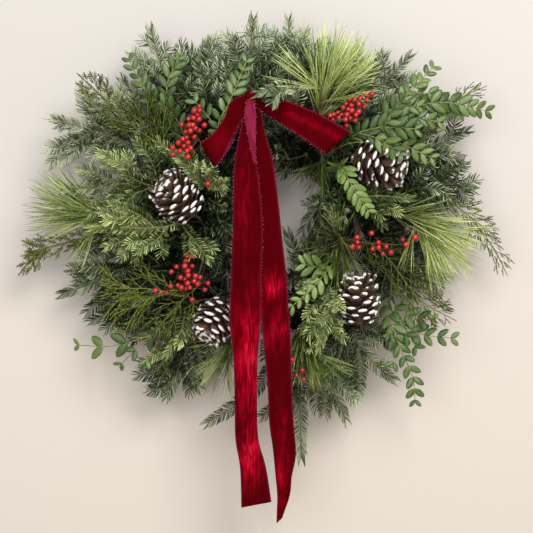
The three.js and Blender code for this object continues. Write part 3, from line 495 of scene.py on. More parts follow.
def closeTree(tree, geometry, given):
    real = addNode(tree, "GeometryNodeRealizeInstances", inputs={"Geometry": geometry})
    barked = addNode(tree, "GeometryNodeSetMaterial", inputs={"Geometry": real, "Material": given["Twig finish"]})
    values = {"Geometry": barked, "Selection": namedValue(tree, "leafy", "BOOLEAN"), "Material": given["Leaf finish"]}
    leafed = addNode(tree, "GeometryNodeSetMaterial", inputs=values)
    outlet = tree.nodes.new("NodeGroupOutput")
    tree.links.new(leafed.socket, outlet.inputs["Geometry"])


def namedValue(tree, name, kind="FLOAT"):
    return addNode(tree, "GeometryNodeInputNamedAttribute", {"data_type": kind}, {"Name": name})


def anyNumber(tree, low, high, seed):
    return addNode(tree, "FunctionNodeRandomValue", {"data_type": "FLOAT"}, {2: low, 3: high, 8: seed}, 1)


def joined(tree, *parts):
    join = tree.nodes.new("GeometryNodeJoinGeometry")
    for part in parts:
        tree.links.new(part.socket, join.inputs[0])
    return Wire(tree, join.outputs[0])


def storeNumber(tree, geometry, name, domain, value):
    values = {"Geometry": geometry, "Name": name, "Value": value}
    return addNode(tree, "GeometryNodeStoreNamedAttribute", {"data_type": "FLOAT", "domain": domain}, values)


def shapeOf(tree, leaf):
    return addNode(tree, "GeometryNodeObjectInfo", inputs={"Object": leaf}, output="Geometry")


def aimed(tree, axis, vector, rotation=None):
    # Z is aimed first; Y then only turns about it
    if rotation is None:
        return addNode(tree, "FunctionNodeAlignRotationToVector", {"axis": axis}, {"Vector": vector})
    values = {"Rotation": rotation, "Vector": vector}
    return addNode(tree, "FunctionNodeAlignRotationToVector", {"axis": axis, "pivot_axis": "Z"}, values)


def twigTubes(tree, curve, sides):
    circle = addNode(tree, "GeometryNodeCurvePrimitiveCircle", inputs={"Resolution": sides, "Radius": 1.0})
    values = {"Curve": curve, "Profile Curve": circle, "Scale": namedValue(tree, "girth"), "Fill Caps": True}
    return addNode(tree, "GeometryNodeCurveToMesh", inputs=values)


def buildStrewTree():
    # strews leaves along twigs
    numbers = ["Spacing", "Lean start", "Lean end", "Turn start", "Turn step", "Turn spread", "Lean spread",
               "Shortest", "Longest", "Tip taper"]
    sockets = {"Leaf": "Object", **{label: "Float" for label in numbers}, "Twig sides": "Int", "Seed": "Int"}
    tree, given = openTree("strewAlongTwigs", {**sockets, "Leaf finish": "Material", "Twig finish": "Material"})
    curve = addNode(tree, "GeometryNodeMeshToCurve", inputs={"Mesh": given["Geometry"]})
    values = {"Curve": curve, "Length": given["Spacing"]}
    spots = addNode(tree, "GeometryNodeResampleCurve", {"mode": "LENGTH"}, values)
    spots = storeNumber(tree, spots, "along", "POINT", addNode(tree, "GeometryNodeSplineParameter"))
    along = namedValue(tree, "along")
    seed = given["Seed"]
    faced = aimed(tree, "Y", front, aimed(tree, "Z", addNode(tree, "GeometryNodeInputTangent")))
    turn = given["Turn start"] + addNode(tree, "GeometryNodeInputIndex") * given["Turn step"]
    turn = turn + anyNumber(tree, -1, 1, seed) * given["Turn spread"]
    lean = given["Lean start"] + (given["Lean end"] - given["Lean start"]) * along**8
    lean = lean + anyNumber(tree, -1, 1, seed + 1) * given["Lean spread"]
    euler = addNode(tree, "ShaderNodeCombineXYZ", inputs={"X": lean, "Z": turn})
    swing = addNode(tree, "FunctionNodeEulerToRotation", inputs={"Euler": euler})
    values = {"Rotation": faced, "Rotate By": swing}
    rotation = addNode(tree, "FunctionNodeRotateRotation", {"rotation_space": "LOCAL"}, values)
    size = given["Shortest"] + (given["Longest"] - given["Shortest"]) * anyNumber(tree, 0, 1, seed + 2)
    size = size * (1 - given["Tip taper"] * along**5)
    values = {"Points": spots, "Selection": namedValue(tree, "strew") > 0.5, "Instance": shapeOf(tree, given["Leaf"]),
              "Rotation": rotation, "Scale": size}
    leaves = addNode(tree, "GeometryNodeInstanceOnPoints", inputs=values)
    # a leaf's tone is random, darker towards its twig's root as painted shade, and follows the twig's shade
    tone = anyNumber(tree, 0, 1, seed + 3) * 0.40 + along * 0.32 + namedValue(tree, "shade") * 0.50
    leaves = storeNumber(tree, leaves, "tone", "INSTANCE", tone)
    closeTree(tree, joined(tree, leaves, twigTubes(tree, curve, given["Twig sides"])), given)
    return tree


def buildStandTree():
    # stands one shape on each point, aimed as the point says, and lays tubes along any edges
    sockets = {"Leaf": "Object", "Twig sides": "Int", "Seed": "Int"}
    tree, given = openTree("standOnPoints", {**sockets, "Leaf finish": "Material", "Twig finish": "Material"})
    rotation = aimed(tree, "Z", namedValue(tree, "aim", "FLOAT_VECTOR"))
    rotation = aimed(tree, "Y", namedValue(tree, "lift", "FLOAT_VECTOR"), rotation)
    values = {"Mesh": given["Geometry"], "Selection": namedValue(tree, "strew") > 0.5}
    spots = addNode(tree, "GeometryNodeMeshToPoints", inputs=values)
    values = {"Points": spots, "Instance": shapeOf(tree, given["Leaf"]), "Rotation": rotation,
              "Scale": namedValue(tree, "size", "FLOAT_VECTOR")}
    leaves = addNode(tree, "GeometryNodeInstanceOnPoints", inputs=values)
    leaves = storeNumber(tree, leaves, "tone", "INSTANCE", anyNumber(tree, 0, 1, given["Seed"]))
    curve = addNode(tree, "GeometryNodeMeshToCurve", inputs={"Mesh": given["Geometry"]})
    closeTree(tree, joined(tree, leaves, twigTubes(tree, curve, given["Twig sides"])), given)
    return tree


strewTree = buildStrewTree()
standTree = buildStandTree()


def grownPiece(name, source, tree, values):
    # runs a tree on a skeleton and keeps the result as one plain mesh
    modifier = source.modifiers.new("grow", "NODES")
    modifier.node_group = tree
    for item in tree.interface.items_tree:
        if item.in_out == "INPUT" and item.name in values:
            modifier[item.identifier] = values[item.name]
    graph = bpy.context.evaluated_depsgraph_get()
    grown = source.evaluated_get(graph)
    mesh = bpy.data.meshes.new_from_object(grown, preserve_all_data_layers=True, depsgraph=graph)
    source.modifiers.remove(modifier)
    bpy.data.objects.remove(source)
    mesh.name = name
    mesh.polygons.foreach_set("use_smooth", [True] * len(mesh.polygons))
    piece = bpy.data.objects.new(name, mesh)
    scene.collection.objects.link(piece)
    return piece


def keepPiece(piece, node):
    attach(piece, "root")
    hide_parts(node)


print("trees of nodes built")


# the plants: the lane and seat of each stem, the points on its way, where its side shoots end, and its own habit
plants = [
    # the back row, round the outside
    {"name": "fir_top_left", "kind": "fir", "seat": ["outer", 0],
     "way": [[-88, 165, 30], [-114, 250, 35]], "shoots": [[-78, 267, 30]]},
    {"name": "fir_upper_left", "kind": "fir", "seat": ["outer", 1],
     "way": [[-140, 165, 35], [-172, 277, 40]], "shoots": [[-146, 253, 30]],
     "habit": {"more": [[-182, 262, 38], [-162, 246, 40]]}},
    {"name": "fir_left_high", "kind": "fir", "seat": ["outer", 2],
     "way": [[-185, 105, 35], [-312, 148, 50]], "shoots": [[-256, 160, 42], [-273, 193, 38], [-314, 84, 50]],
     "habit": {"shade": 0.7, "fans": [(0, 0, 1)], "length": [50, 24], "more": [[-236, 196, 40], [-290, 132, 48],
               [-216, 192, 44], [-304, 140, 46]]}},
    {"name": "cedar_left", "kind": "cedar", "seat": ["outer", 3],
     "way": [[-213, -10, 30], [-290, -30, 45], [-349, -44, 40]],
     "shoots": [[-355, -28, 45], [-354, -53, 40], [-348, -60, 35], [-362, -75, 35], [-338, -70, 45]],
     "habit": {"shade": 0.25, "length": [34, 11], "strewing": {"Lean start": 0.45, "Lean end": 0.2, "Shortest": 1.2,
               "Longest": 1.5}}},
    {"name": "fir_left_low", "kind": "fir", "seat": ["outer", 4],
     "way": [[-199, -70, 30], [-300, -104, 35]], "shoots": [[-281, -71, 30]],
     "habit": {"shade": 0.25}},
    {"name": "fir_lower_left", "kind": "fir", "seat": ["outer", 5],
     "way": [[-185, -112, 25], [-258, -143, 30]], "shoots": [[-225, -150, 22]],
     "habit": {"shade": 0.1, "more": [[-246, -112, 30], [-238, -128, 28]]}},
    {"name": "fir_bottom_left", "kind": "fir", "seat": ["outer", 6],
     "way": [[-118, -178, 35], [-149, -254, 35]],
     "shoots": [[-172, -243, 40], [-190, -222, 35], [-104, -237, 45]],
     "habit": {"shade": 0.1, "fans": [(0, 0, 1)], "more": [[-168, -222, 36], [-122, -200, 44], [-184, -204, 38]]}},
    {"name": "pine_behind_tails", "kind": "pine", "seat": ["outer", 7],
     "way": [[-48, -172, 60], [-66, -190, 70]],
     "shoots": [[-101, -176, 80], [-105, -190, 75], [-95, -234, 75], [-81, -251, 65], [-60, -250, 60]],
     "habit": {"strewing": {"Shortest": 0.7, "Longest": 0.86}}},
    {"name": "fir_bottom", "kind": "fir", "seat": ["outer", 8],
     "way": [[20, -185, 45], [40, -250, 60], [45, -338, 55]], "shoots": [[-11, -278, 60]],
     "habit": {"shade": 0.3, "fans": [(0, 0, 1)], "until": 0.3, "more": [[26, -262, 56], [-88, -288, 50]]}},
    {"name": "fir_bottom_right", "kind": "fir", "seat": ["outer", 9],
     "way": [[72, -195, 30], [109, -284, 35]], "shoots": [[84, -266, 30]],
     "habit": {"fans": [(0, 0, 1)]}},
    {"name": "fir_lower_right", "kind": "fir", "seat": ["outer", 10],
     "way": [[118, -158, 30], [150, -205, 35], [179, -227, 35]], "shoots": [[124, -251, 45], [88, -214, 50]],
     "habit": {"fans": [(0, 0, 1)], "until": 0.55, "more": [[166, -206, 40]]}},
    {"name": "boxwood_lower_right", "kind": "boxwood", "seat": ["outer", 11],
     "way": [[163, -118, 35], [185, -179, 65], [203, -223, 70], [206, -254, 70]], "shoots": [[256, -166, 75]],
     "habit": {"shade": 0.15, "forkStep": [200], "more": [[228, -140, 72], [176, -200, 72], [172, -160, 66]],
               "strewing": {"Spacing": 0.016}}},
    {"name": "fir_right_low", "kind": "fir", "seat": ["outer", 12],
     "way": [[178, -41, 22], [253, -81, 40]], "shoots": [[241, -108, 36], [227, -58, 45]],
     "habit": {"shade": 0.4, "more": [[166, -62, 60], [188, -98, 58], [172, -118, 58], [222, -88, 54],
               [206, -112, 50]]}},
    {"name": "cedar_right", "kind": "cedar", "seat": ["outer", 13],
     "way": [[185, 34, 30], [241, 36, 40], [329, -24, 40]],
     "shoots": [[320, 7, 45], [324, -4, 42], [314, -30, 36], [344, -77, 30], [284, -34, 35]],
     "habit": {"length": [28, 10], "forkStep": [8, 6], "more": [[302, 16, 42], [278, 2, 40], [290, -20, 38],
               [312, -10, 42], [298, -34, 40], [306, 28, 40]]}},
    {"name": "fir_right", "kind": "fir", "seat": ["outer", 14],
     "way": [[199, 68, 25], [293, 47, 30]], "shoots": [[281, 84, 25]],
     "habit": {"shade": 0.15, "more": [[272, 62, 30], [262, 36, 30], [286, 30, 32], [298, 60, 30]]}},
    {"name": "fir_right_high", "kind": "fir", "seat": ["outer", 15],
     "way": [[190, 95, 25], [285, 131, 30]], "shoots": [[268, 150, 26]],
     "habit": {"shade": 0.1, "fans": [(0, 0, 1)]}},
    {"name": "fir_upper_right", "kind": "fir", "seat": ["outer", 16],
     "way": [[110, 150, 25], [202, 240, 30]], "shoots": [[160, 241, 26], [192, 200, 30]]},
    {"name": "fir_top", "kind": "fir", "seat": ["outer", 17],
     "way": [[28, 170, 30], [27, 293, 35]], "shoots": [[4, 264, 40], [80, 258, 40]]},
    # the middle row
    {"name": "fir_top_middle", "kind": "fir", "seat": ["front", 0],
     "way": [[-40, 165, 55], [-24, 288, 62]], "shoots": [[-57, 257, 60]],
     "habit": {"more": [[-10, 272, 58], [-36, 270, 58]]}},
    {"name": "boxwood_upper_left", "kind": "boxwood", "seat": ["front", 1],
     "way": [[-140, 155, 60], [-172, 180, 72], [-199, 226, 75]], "shoots": [[-131, 229, 68]],
     "habit": {"shade": 0.15, "until": 0.6, "forkStep": [70]}},
    {"name": "cedar_upper_left", "kind": "cedar", "seat": ["front", 2],
     "way": [[-160, 110, 68], [-187, 129, 75], [-272, 208, 72]],
     "shoots": [[-241, 197, 78], [-227, 180, 80], [-169, 190, 80], [-145, 168, 85], [-254, 180, 66]],
     "habit": {"shade": 0.1, "forkStep": [11, 6.2], "length": [40, 15], "strewing": {"Lean start": 0.42,
               "Lean end": 0.2, "Shortest": 1.15, "Longest": 1.5}}},
    {"name": "fir_left", "kind": "firLight", "seat": ["front", 3],
     "way": [[-175, 50, 65], [-290, 44, 75]], "shoots": [[-250, 62, 72]],
     "habit": {"shade": 0.65}},
    {"name": "pine_left", "kind": "pine", "seat": ["front", 4],
     "way": [[-175, -2, 55], [-225, 5, 62], [-263, 13, 65]],
     "shoots": [[-315, 74, 70], [-331, 65, 65], [-346, 57, 65], [-356, 38, 62], [-362, 18, 60], [-352, -4, 60],
                [-348, -17, 60], [-330, 30, 60], [-287, -55, 70]],
     "habit": {"strewing": {"Shortest": 0.72, "Longest": 0.95}}},
    {"name": "berries_left", "kind": "berry", "seat": ["front", 5],
     "way": [[-118, -62, 70], [-116, -84, 82], [-124, -98, 84]],
     "shoots": [[-116, -50, 84], [-109, -62, 90], [-122, -70, 92], [-138, -72, 86], [-113, -77, 95], [-99, -80, 92],
                [-120, -89, 96], [-104, -90, 93], [-132, -90, 90], [-150, -100, 84], [-93, -97, 88]]},
    {"name": "boxwood_lower_left", "kind": "boxwood", "seat": ["heart", 6],
     "way": [[-138, -140, 55], [-166, -160, 70], [-212, -203, 55]],
     "shoots": [[-217, -158, 60], [-274, -178, 45]],
     "habit": {"shade": 0.3, "forkStep": [200], "strewing": {"Spacing": 0.03, "Shortest": 0.8, "Longest": 1.15,
               "Tip taper": 0.5}}},
    {"name": "fir_front_low_left", "kind": "firLight", "seat": ["front", 6],
     "way": [[-118, -128, 48], [-126, -156, 84], [-146, -189, 88]], "shoots": [[-160, -212, 62]],
     "habit": {"shade": 0.5, "fans": [(0, 0, 1)]}},
    {"name": "pine_bottom", "kind": "pine", "seat": ["front", 9],
     "way": [[48, -150, 60], [55, -185, 82]],
     "shoots": [[30, -197, 95], [92, -244, 85], [43, -242, 90], [62, -250, 88], [22, -228, 88], [86, -200, 92]],
     "habit": {"shade": 0.4, "strewing": {"Lean start": 0.2, "Lean spread": 0.04, "Shortest": 0.72,
               "Longest": 0.92}}},
    {"name": "berries_bottom", "kind": "berry", "seat": ["front", 10],
     "way": [[46, -160, 50], [36, -195, 84], [42, -214, 84]],
     "shoots": [[47, -222, 88], [34, -212, 90], [31, -196, 92]]},
    {"name": "cone_lower_right", "kind": "cone", "seat": ["front", 11],
     "way": [[126, -112, 26], [132, -156, 50], [126, -132, 70]],
     "base": [128, -146, 64], "apex": [122, -74, 84], "girth": 28},
    {"name": "cedar_lower_right", "kind": "cedar", "seat": ["front", 12],
     "way": [[168, -52, 52], [213, -112, 75], [263, -141, 70]], "shoots": [[254, -112, 70], [228, -142, 74]]},
    {"name": "pine_right", "kind": "pine", "seat": ["front", 13],
     "way": [[165, 12, 62], [205, 5, 78], [232, -8, 82]],
     "shoots": [[298, -20, 75], [283, -30, 78], [264, -44, 82], [244, -60, 85], [200, -86, 88], [266, -91, 70],
                [274, -84, 66], [300, -74, 62]],
     "habit": {"shade": 0.85}},
    {"name": "cone_upper_right", "kind": "cone", "seat": ["front", 14],
     "way": [[114, 70, 34], [138, 84, 68]], "base": [118, 90, 60], "apex": [192, 70, 80], "girth": 31},
    {"name": "boxwood_right", "kind": "boxwood", "seat": ["front", 15],
     "way": [[125, 125, 70], [163, 136, 92], [189, 173, 85], [230, 217, 70]],
     "shoots": [[307, 158, 62], [226, 90, 80], [180, 92, 108]],
     "habit": {"forkStep": [200], "more": [[270, 154, 66], [238, 176, 74], [204, 188, 84], [202, 128, 98],
               [158, 130, 104], [206, 160, 90], [236, 140, 84]]}},
    {"name": "berries_upper_right", "kind": "berry", "seat": ["heart", 16],
     "way": [[85, 135, 62], [112, 148, 76], [134, 168, 78]],
     "shoots": [[142, 176, 84], [128, 171, 86], [108, 164, 84], [124, 152, 86], [114, 142, 84], [90, 147, 82]]},
    {"name": "pine_top_right", "kind": "pine", "seat": ["front", 17],
     "way": [[66, 140, 62], [72, 172, 88], [84, 192, 92]],
     "shoots": [[84, 276, 80], [101, 277, 78], [118, 274, 80], [136, 264, 82], [148, 248, 84], [148, 229, 88],
                [152, 196, 92], [60, 262, 86], [21, 205, 105], [34, 236, 92]],
     "habit": {"shade": 0.85}},
    # the front row and the sprays that turn in to the hole
    {"name": "boxwood_over_bow", "kind": "boxwood", "seat": ["heart", 0],
     "way": [[-62, 112, 80], [-72, 136, 102], [-58, 162, 108], [-34, 222, 92]], "shoots": [[-104, 166, 90]],
     "habit": {"shade": 0.2, "until": 0.5, "forkStep": [200], "bare": 64, "shootBare": 34}},
    {"name": "berries_upper_left", "kind": "berry", "seat": ["heart", 1],
     "way": [[-88, 96, 72], [-104, 122, 82], [-102, 150, 84]],
     "shoots": [[-99, 160, 88], [-112, 150, 87], [-102, 140, 93], [-115, 131, 88], [-101, 125, 92], [-119, 116, 86],
                [-110, 106, 90], [-118, 92, 82], [-134, 96, 78]]},
    {"name": "fir_beside_cone", "kind": "firLight", "seat": ["heart", 2],
     "way": [[-92, 50, 66], [-100, 58, 84], [-136, 96, 92]], "shoots": [[-62, 54, 88], [-158, 112, 80]],
     "habit": {"shade": 0.75, "fans": [(0, 0, 1)], "rosettes": [[-64, 51, 106]]}},
    {"name": "cone_left", "kind": "cone", "seat": ["heart", 3],
     "way": [[-100, 2, 42], [-120, 20, 66]], "base": [-108, 8, 60], "apex": [-152, 54, 82], "girth": 30},
    {"name": "fir_front_left", "kind": "firLight", "seat": ["heart", 4],
     "way": [[-128, -4, 66], [-150, -9, 92], [-252, -12, 92]],
     "shoots": [[-189, -56, 92], [-228, 18, 88], [-85, -56, 98]],
     "habit": {"shade": 0.85, "fans": [(0, 0, 1)]}},
    {"name": "cedar_front_left", "kind": "cedar", "seat": ["heart", 5],
     "way": [[-108, -98, 62], [-128, -106, 98], [-160, -97, 100], [-226, -95, 90]],
     "shoots": [[-192, -52, 92], [-239, -64, 86], [-236, -78, 86], [-213, -121, 88], [-238, -140, 80],
                [-186, -132, 90]],
     "habit": {"shade": 0.9, "forkStep": [12, 7], "more": [[-206, -160, 84], [-172, -168, 86]]}},
    {"name": "cone_bottom_left", "kind": "cone", "seat": ["heart", 7],
     "way": [[-60, -106, 44], [-72, -130, 68]], "base": [-66, -118, 60], "apex": [-92, -166, 86], "girth": 26},
    {"name": "fir_front_low_right", "kind": "firLight", "seat": ["heart", 10],
     "way": [[78, -95, 66], [84, -118, 92], [68, -183, 98]], "shoots": [[104, -166, 92]],
     "habit": {"shade": 0.75, "rosettes": [[57, -178, 112], [98, -150, 106]]}},
    {"name": "boxwood_inner_right", "kind": "boxwood", "seat": ["heart", 11],
     "way": [[88, -62, 74], [62, -92, 100], [32, -119, 106]], "shoots": [[50, -62, 96]],
     "habit": {"shade": 0.7, "until": 0.1}},
    {"name": "berries_right", "kind": "berry", "seat": ["heart", 12],
     "way": [[112, -26, 72], [140, -32, 82], [188, -34, 84]],
     "shoots": [[122, -22, 86], [117, -36, 90], [142, -20, 88], [150, -36, 92], [162, -45, 88], [188, -30, 86],
                [203, -24, 84]]},
    {"name": "fir_front_right", "kind": "firLight", "seat": ["heart", 13],
     "way": [[118, 22, 66], [142, 34, 90], [197, 31, 94]], "shoots": [[97, -6, 92], [158, -8, 96]],
     "habit": {"shade": 0.3, "fans": [(0, 0, 1), (-23, 7, 0.8)], "length": [50, 26]}},
    {"name": "boxwood_front_right", "kind": "boxwood", "seat": ["heart", 14],
     "way": [[96, 76, 78], [101, 72, 96], [118, 42, 104], [137, 14, 98]], "shoots": [],
     "habit": {"shade": 0.85, "until": 0.1, "strewing": {"Spacing": 0.0105, "Lean spread": 0.25}}},
    {"name": "cedar_upper_right", "kind": "cedar", "seat": ["heart", 15],
     "way": [[110, 110, 66], [200, 118, 58], [264, 172, 45], [311, 195, 40]], "shoots": [[300, 198, 40]],
     "habit": {"length": [30, 10]}},
    {"name": "fir_over_bow", "kind": "fir", "seat": ["heart", 17],
     "way": [[28, 140, 82], [38, 178, 112], [16, 182, 128], [-16, 174, 130]], "shoots": [[4, 160, 146]],
     "habit": {"shade": 0.8, "fans": [(0, 0, 1)], "until": 0.3}},
    {"name": "fir_inner_top", "kind": "fir", "seat": ["inner", 16],
     "way": [[54, 98, 35], [28, 88, 60]], "shoots": [[62, 76, 50]],
     "habit": {"shade": 0.15, "fans": [(0, 0, 1), (30, 0, 0.8)], "length": [44, 22], "rosettes": [[10, 96, 96],
               [4, 124, 100]], "more": [[18, 70, 55], [45, 68, 52], [4, 84, 60], [76, 70, 56], [30, 78, 50],
               [60, 70, 48], [-10, 100, 60]]}},
    {"name": "pine_inner_top", "kind": "pine", "seat": ["inner", 15],
     "way": [[80, 84, 50], [72, 96, 82]], "shoots": [[37, 62, 88], [74, 62, 92], [58, 50, 84], [94, 78, 94]],
     "habit": {"shade": 0.2, "bareShare": 1.1, "strewing": {"Lean start": 0.2, "Lean spread": 0.1, "Shortest": 0.6,
               "Longest": 0.75}}},
    {"name": "fir_inner_right", "kind": "fir", "seat": ["inner", 14],
     "way": [[88, 42, 45], [64, 14, 62], [47, -13, 60]], "shoots": [[66, 32, 78]],
     "habit": {"shade": 0.7, "fans": [(0, 0, 1)], "length": [30, 14], "rosettes": [[104, 8, 100]],
               "more": [[86, 54, 50], [84, -20, 50], [92, -36, 50], [84, 22, 52]]}},
    {"name": "pine_inner_right", "kind": "pine", "seat": ["inner", 12],
     "way": [[102, -26, 46], [96, -14, 78]],
     "shoots": [[50, -58, 88], [68, -77, 92], [104, -88, 96], [126, -72, 98], [84, -84, 90]]},
    {"name": "fir_inner_bottom", "kind": "fir", "seat": ["inner", 10],
     "way": [[58, -84, 40], [38, -50, 58], [26, -18, 60]], "shoots": [[22, -80, 66], [52, -44, 48]],
     "habit": {"fans": [(0, 0, 1), (26, 5, 0.8)]}},
    {"name": "fir_inner_left", "kind": "fir", "seat": ["inner", 3],
     "way": [[-92, 8, 40], [-68, -24, 66], [-56, -61, 70]], "shoots": [[-60, 2, 72]],
     "habit": {"shade": 0.15, "fans": [(0, 0, 1), (32, -6, 0.9), (-30, 6, 1.1)], "until": 0.9,
               "more": [[-44, 24, 66], [-44, -20, 66], [-42, -52, 70], [-80, 14, 74], [-84, -12, 74], [-92, 26, 70],
               [-50, 58, 62], [-40, -84, 66], [-72, -58, 60], [-58, -72, 64], [-80, -80, 60], [-60, 80, 60],
               [-72, 66, 60], [-50, 98, 58], [-46, 0, 66], [-60, -100, 60]]}},
]


def smoothPath(points, step):
    # a centripetal curve through the points, as points about step metres apart
    ends = [points[0] * 2 - points[1], *points, points[-1] * 2 - points[-2]]
    path = []
    for p0, p1, p2, p3 in zip(ends, ends[1:], ends[2:], ends[3:]):
        knots = [0.0]
        for a, b in ((p0, p1), (p1, p2), (p2, p3)):
            knots.append(knots[-1] + max((b - a).length, 1e-6) ** 0.5)
        t0, t1, t2, t3 = knots
        count = max(1, round((p2 - p1).length / step))
        for i in range(count):
            t = t1 + (t2 - t1) * i / count
            a1 = p0.lerp(p1, (t - t0) / (t1 - t0))
            a2 = p1.lerp(p2, (t - t1) / (t2 - t1))
            a3 = p2.lerp(p3, (t - t2) / (t3 - t2))
            b1 = a1.lerp(a2, (t - t0) / (t2 - t0))
            b2 = a2.lerp(a3, (t - t1) / (t3 - t1))
            path.append(b1.lerp(b2, (t - t1) / (t2 - t1)))
    return [*path, points[-1]]


def stemPoints(plant, turn=0, deeper=0, share=1):
    # in its lane along the ring first, then out and on to the tip; turn and share make the stems beside it
    laneName, seat = plant["seat"]
    lane = lanes[laneName]
    rest = ring["bareEnd"] + seat * ring["seatPitch"]
    leave = rest + ring["seatArc"]
    bound = [besideRing(rest + (leave - rest) * i / 3, lane, ring["laneRadius"]) for i in range(4)]
    out = besideRing(leave + 4.5, lane, ring["laneRadius"] + 6.5)
    way = []
    for i, point in enumerate(plant["way"], 1):
        spot = out + (place(*point) - out) * share
        spot = Matrix.Rotation(math.radians(turn), 4, "Y") @ (spot - out) + out
        way.append(spot - front * deeper / 1000 * i / len(plant["way"]))
    return [*bound, out, *way]


class Twigs:
    # the skeleton of a plant: lines whose points know their thickness, their shade and whether leaves grow there
    def __init__(self, chance):
        self.chance = chance
        self.points, self.edges = [], []
        self.numbers = {"girth": [], "shade": [], "strew": []}

    def spread(self, low, high):
        return low + (high - low) * self.chance.random()

    def add(self, path, thick, thin, shade, bare=0.0):
        first = len(self.points)
        far = 0.0
        for i, point in enumerate(path):
            far += (point - path[i - 1]).length if i else 0
            share = i / (len(path) - 1)
            self.points.append(keptInFront(point))
            self.numbers["girth"].append((thick + (thin - thick) * share) / 1000)
            self.numbers["shade"].append(shade)
            self.numbers["strew"].append(0.0 if far < bare else 1.0)
        self.edges += [(first + i, first + i + 1) for i in range(len(path) - 1)]

    def source(self, name):
        return meshObject(name + "_twigs", self.points, [], self.numbers, self.edges)


def keptInFront(point):
    # twigs that come near the plane behind the wreath bend along it
    limit, soft = -0.012, 0.009
    if point.y < limit:
        return point
    return Vector((point.x, limit + soft * (1 - math.exp((limit - point.y) / soft)), point.z))


def lengthsAlong(path):
    far = [0.0]
    for a, b in zip(path, path[1:]):
        far.append(far[-1] + (b - a).length)
    return far


def spotAlong(path, far, distance):
    for i in range(len(path) - 1):
        if far[i + 1] >= distance:
            share = (distance - far[i]) / max(far[i + 1] - far[i], 1e-9)
            return path[i].lerp(path[i + 1], share), (path[i + 1] - path[i]).normalized()
    return path[-1], (path[-1] - path[-2]).normalized()


def sideWay(twigs, tangent, sign, fork, stray):
    # to one side of a twig in the flat of its spray, which faces the front
    across = tangent.cross(front)
    across = across.normalized() if across.length > 0.2 else Vector((1, 0, 0))
    way = tangent * math.cos(fork) + across * (sign * math.sin(fork))
    return (way + front * twigs.spread(-stray, stray * 1.3)).normalized()


def bentTwig(root, way, ahead, length, step=0.008):
    # a twig that bends a little towards where its parent goes
    middle = root + way * length * 0.5
    tip = root + (way * 0.84 + ahead * 0.26).normalized() * length
    return smoothPath([root, middle, tip], step)


coneMargin = {"girth": 0.95, "behind": 0.010}  # how near a cone's line a twig may not come, and how far behind it


def hidesCone(point):
    # whether a twig there would stand in a cone or before it, where the photo shows the whole cone
    for plant in plants:
        if plant["kind"] == "cone":
            base, apex = place(*plant["base"]), place(*plant["apex"])
            axis = apex - base
            share = ((point.x - base.x) * axis.x + (point.z - base.z) * axis.z) / (axis.x**2 + axis.z**2)
            near = base.lerp(apex, min(max(share, 0), 1))
            aside = math.hypot(point.x - near.x, point.z - near.z)
            if aside < plant["girth"] / 1000 * coneMargin["girth"] and point.y < near.y + coneMargin["behind"]:
                return True
    return False


# how side shoots vary: the share of the way left that they fill, and the spread of length, step, fork and shade
shootSpread = {"room": 0.80, "length": (0.75, 1.15), "step": (0.8, 1.2), "jitter": 9, "tint": 0.42, "taper": 0.6}


def growSprays(twigs, path, values, shade, begin, level=0):
    # side shoots left and right in turn, each with its own side shoots while the level allows
    far = lengthsAlong(path)
    total = far[-1]
    step = values["forkStep"][level] / 1000
    spot = begin + step * 0.5
    last = min(total * (values["until"] if level == 0 else 1), total - values["shortest"] / 800)
    jitter = values.get("jitter", shootSpread["jitter"])
    thick = values["thick"][level + 1]
    sign = 1 if twigs.chance.random() < 0.5 else -1
    while spot < last:
        root, tangent = spotAlong(path, far, spot)
        room = (total - spot) * shootSpread["room"]
        length = min(room, values["length"][level] / 1000 * twigs.spread(*shootSpread["length"]))
        fork = math.radians(values["fork"] + twigs.spread(-jitter, jitter))
        way = sideWay(twigs, tangent, sign, fork, values["stray"])
        twig = bentTwig(root, way, tangent, length)
        tint = min(max(shade + twigs.spread(-shootSpread["tint"], shootSpread["tint"]), 0), 1)
        if not any(hidesCone(point) for point in twig):
            twigs.add(twig, thick, thick * shootSpread["taper"], tint, 0.002)
            if level + 1 < len(values["length"]) and length > values["shortest"] / 500:
                growSprays(twigs, twig, values, tint, length * 0.15, level + 1)
        sign = -sign
        spot += step * twigs.spread(*shootSpread["step"])


def shootPath(path, tip):
    # an explicit side shoot leaves the stem well before the point that lies nearest to its tip
    far = lengthsAlong(path)
    nearest = min(range(len(path)), key=lambda i: (path[i] - tip).length)
    gap = (path[nearest] - tip).length
    leave = min(max(far[nearest] - 0.9 * gap, far[-1] * 0.42), far[-1] * 0.9)
    root, tangent = spotAlong(path, far, leave)
    bend = root.lerp(tip, 0.45) + tangent * (tip - root).length * 0.12
    return smoothPath([root, bend, tip], 0.008)


# how the plants grow; lengths are in millimetres, turns in degrees, and a fan is turn, depth and share of length
firGrowth = {"fans": [(0, 0, 1), (24, -5, 0.84), (-23, 7, 0.80)], "until": 0.8, "forkStep": [17, 26],
             "length": [70, 32], "shortest": 24, "fork": 42, "stray": 0.34, "thick": [1.5, 0.9, 0.7], "bare": 20}
growth = {
    "fir": firGrowth,
    "firLight": {**firGrowth, "fans": [(0, 0, 1), (22, -4, 0.80), (-22, 6, 0.76)], "length": [68, 30],
                 "shortest": 22},
    "cedar": {"fans": [(0, 0, 1)], "until": 1, "forkStep": [9.5, 6.2], "length": [56, 15], "shortest": 7,
              "fork": 33, "stray": 0.12, "jitter": 3, "thick": [1.2, 0.6, 0.5], "bare": 34},
    "boxwood": {"fans": [(0, 0, 1)], "until": 0.8, "forkStep": [34], "length": [52], "shortest": 26,
                "fork": 38, "stray": 0.25, "thick": [1.2, 0.8], "bare": 40},
    "pine": {"fans": [(0, 0, 1)], "thick": [1.9, 1.2], "bare": 40},
}

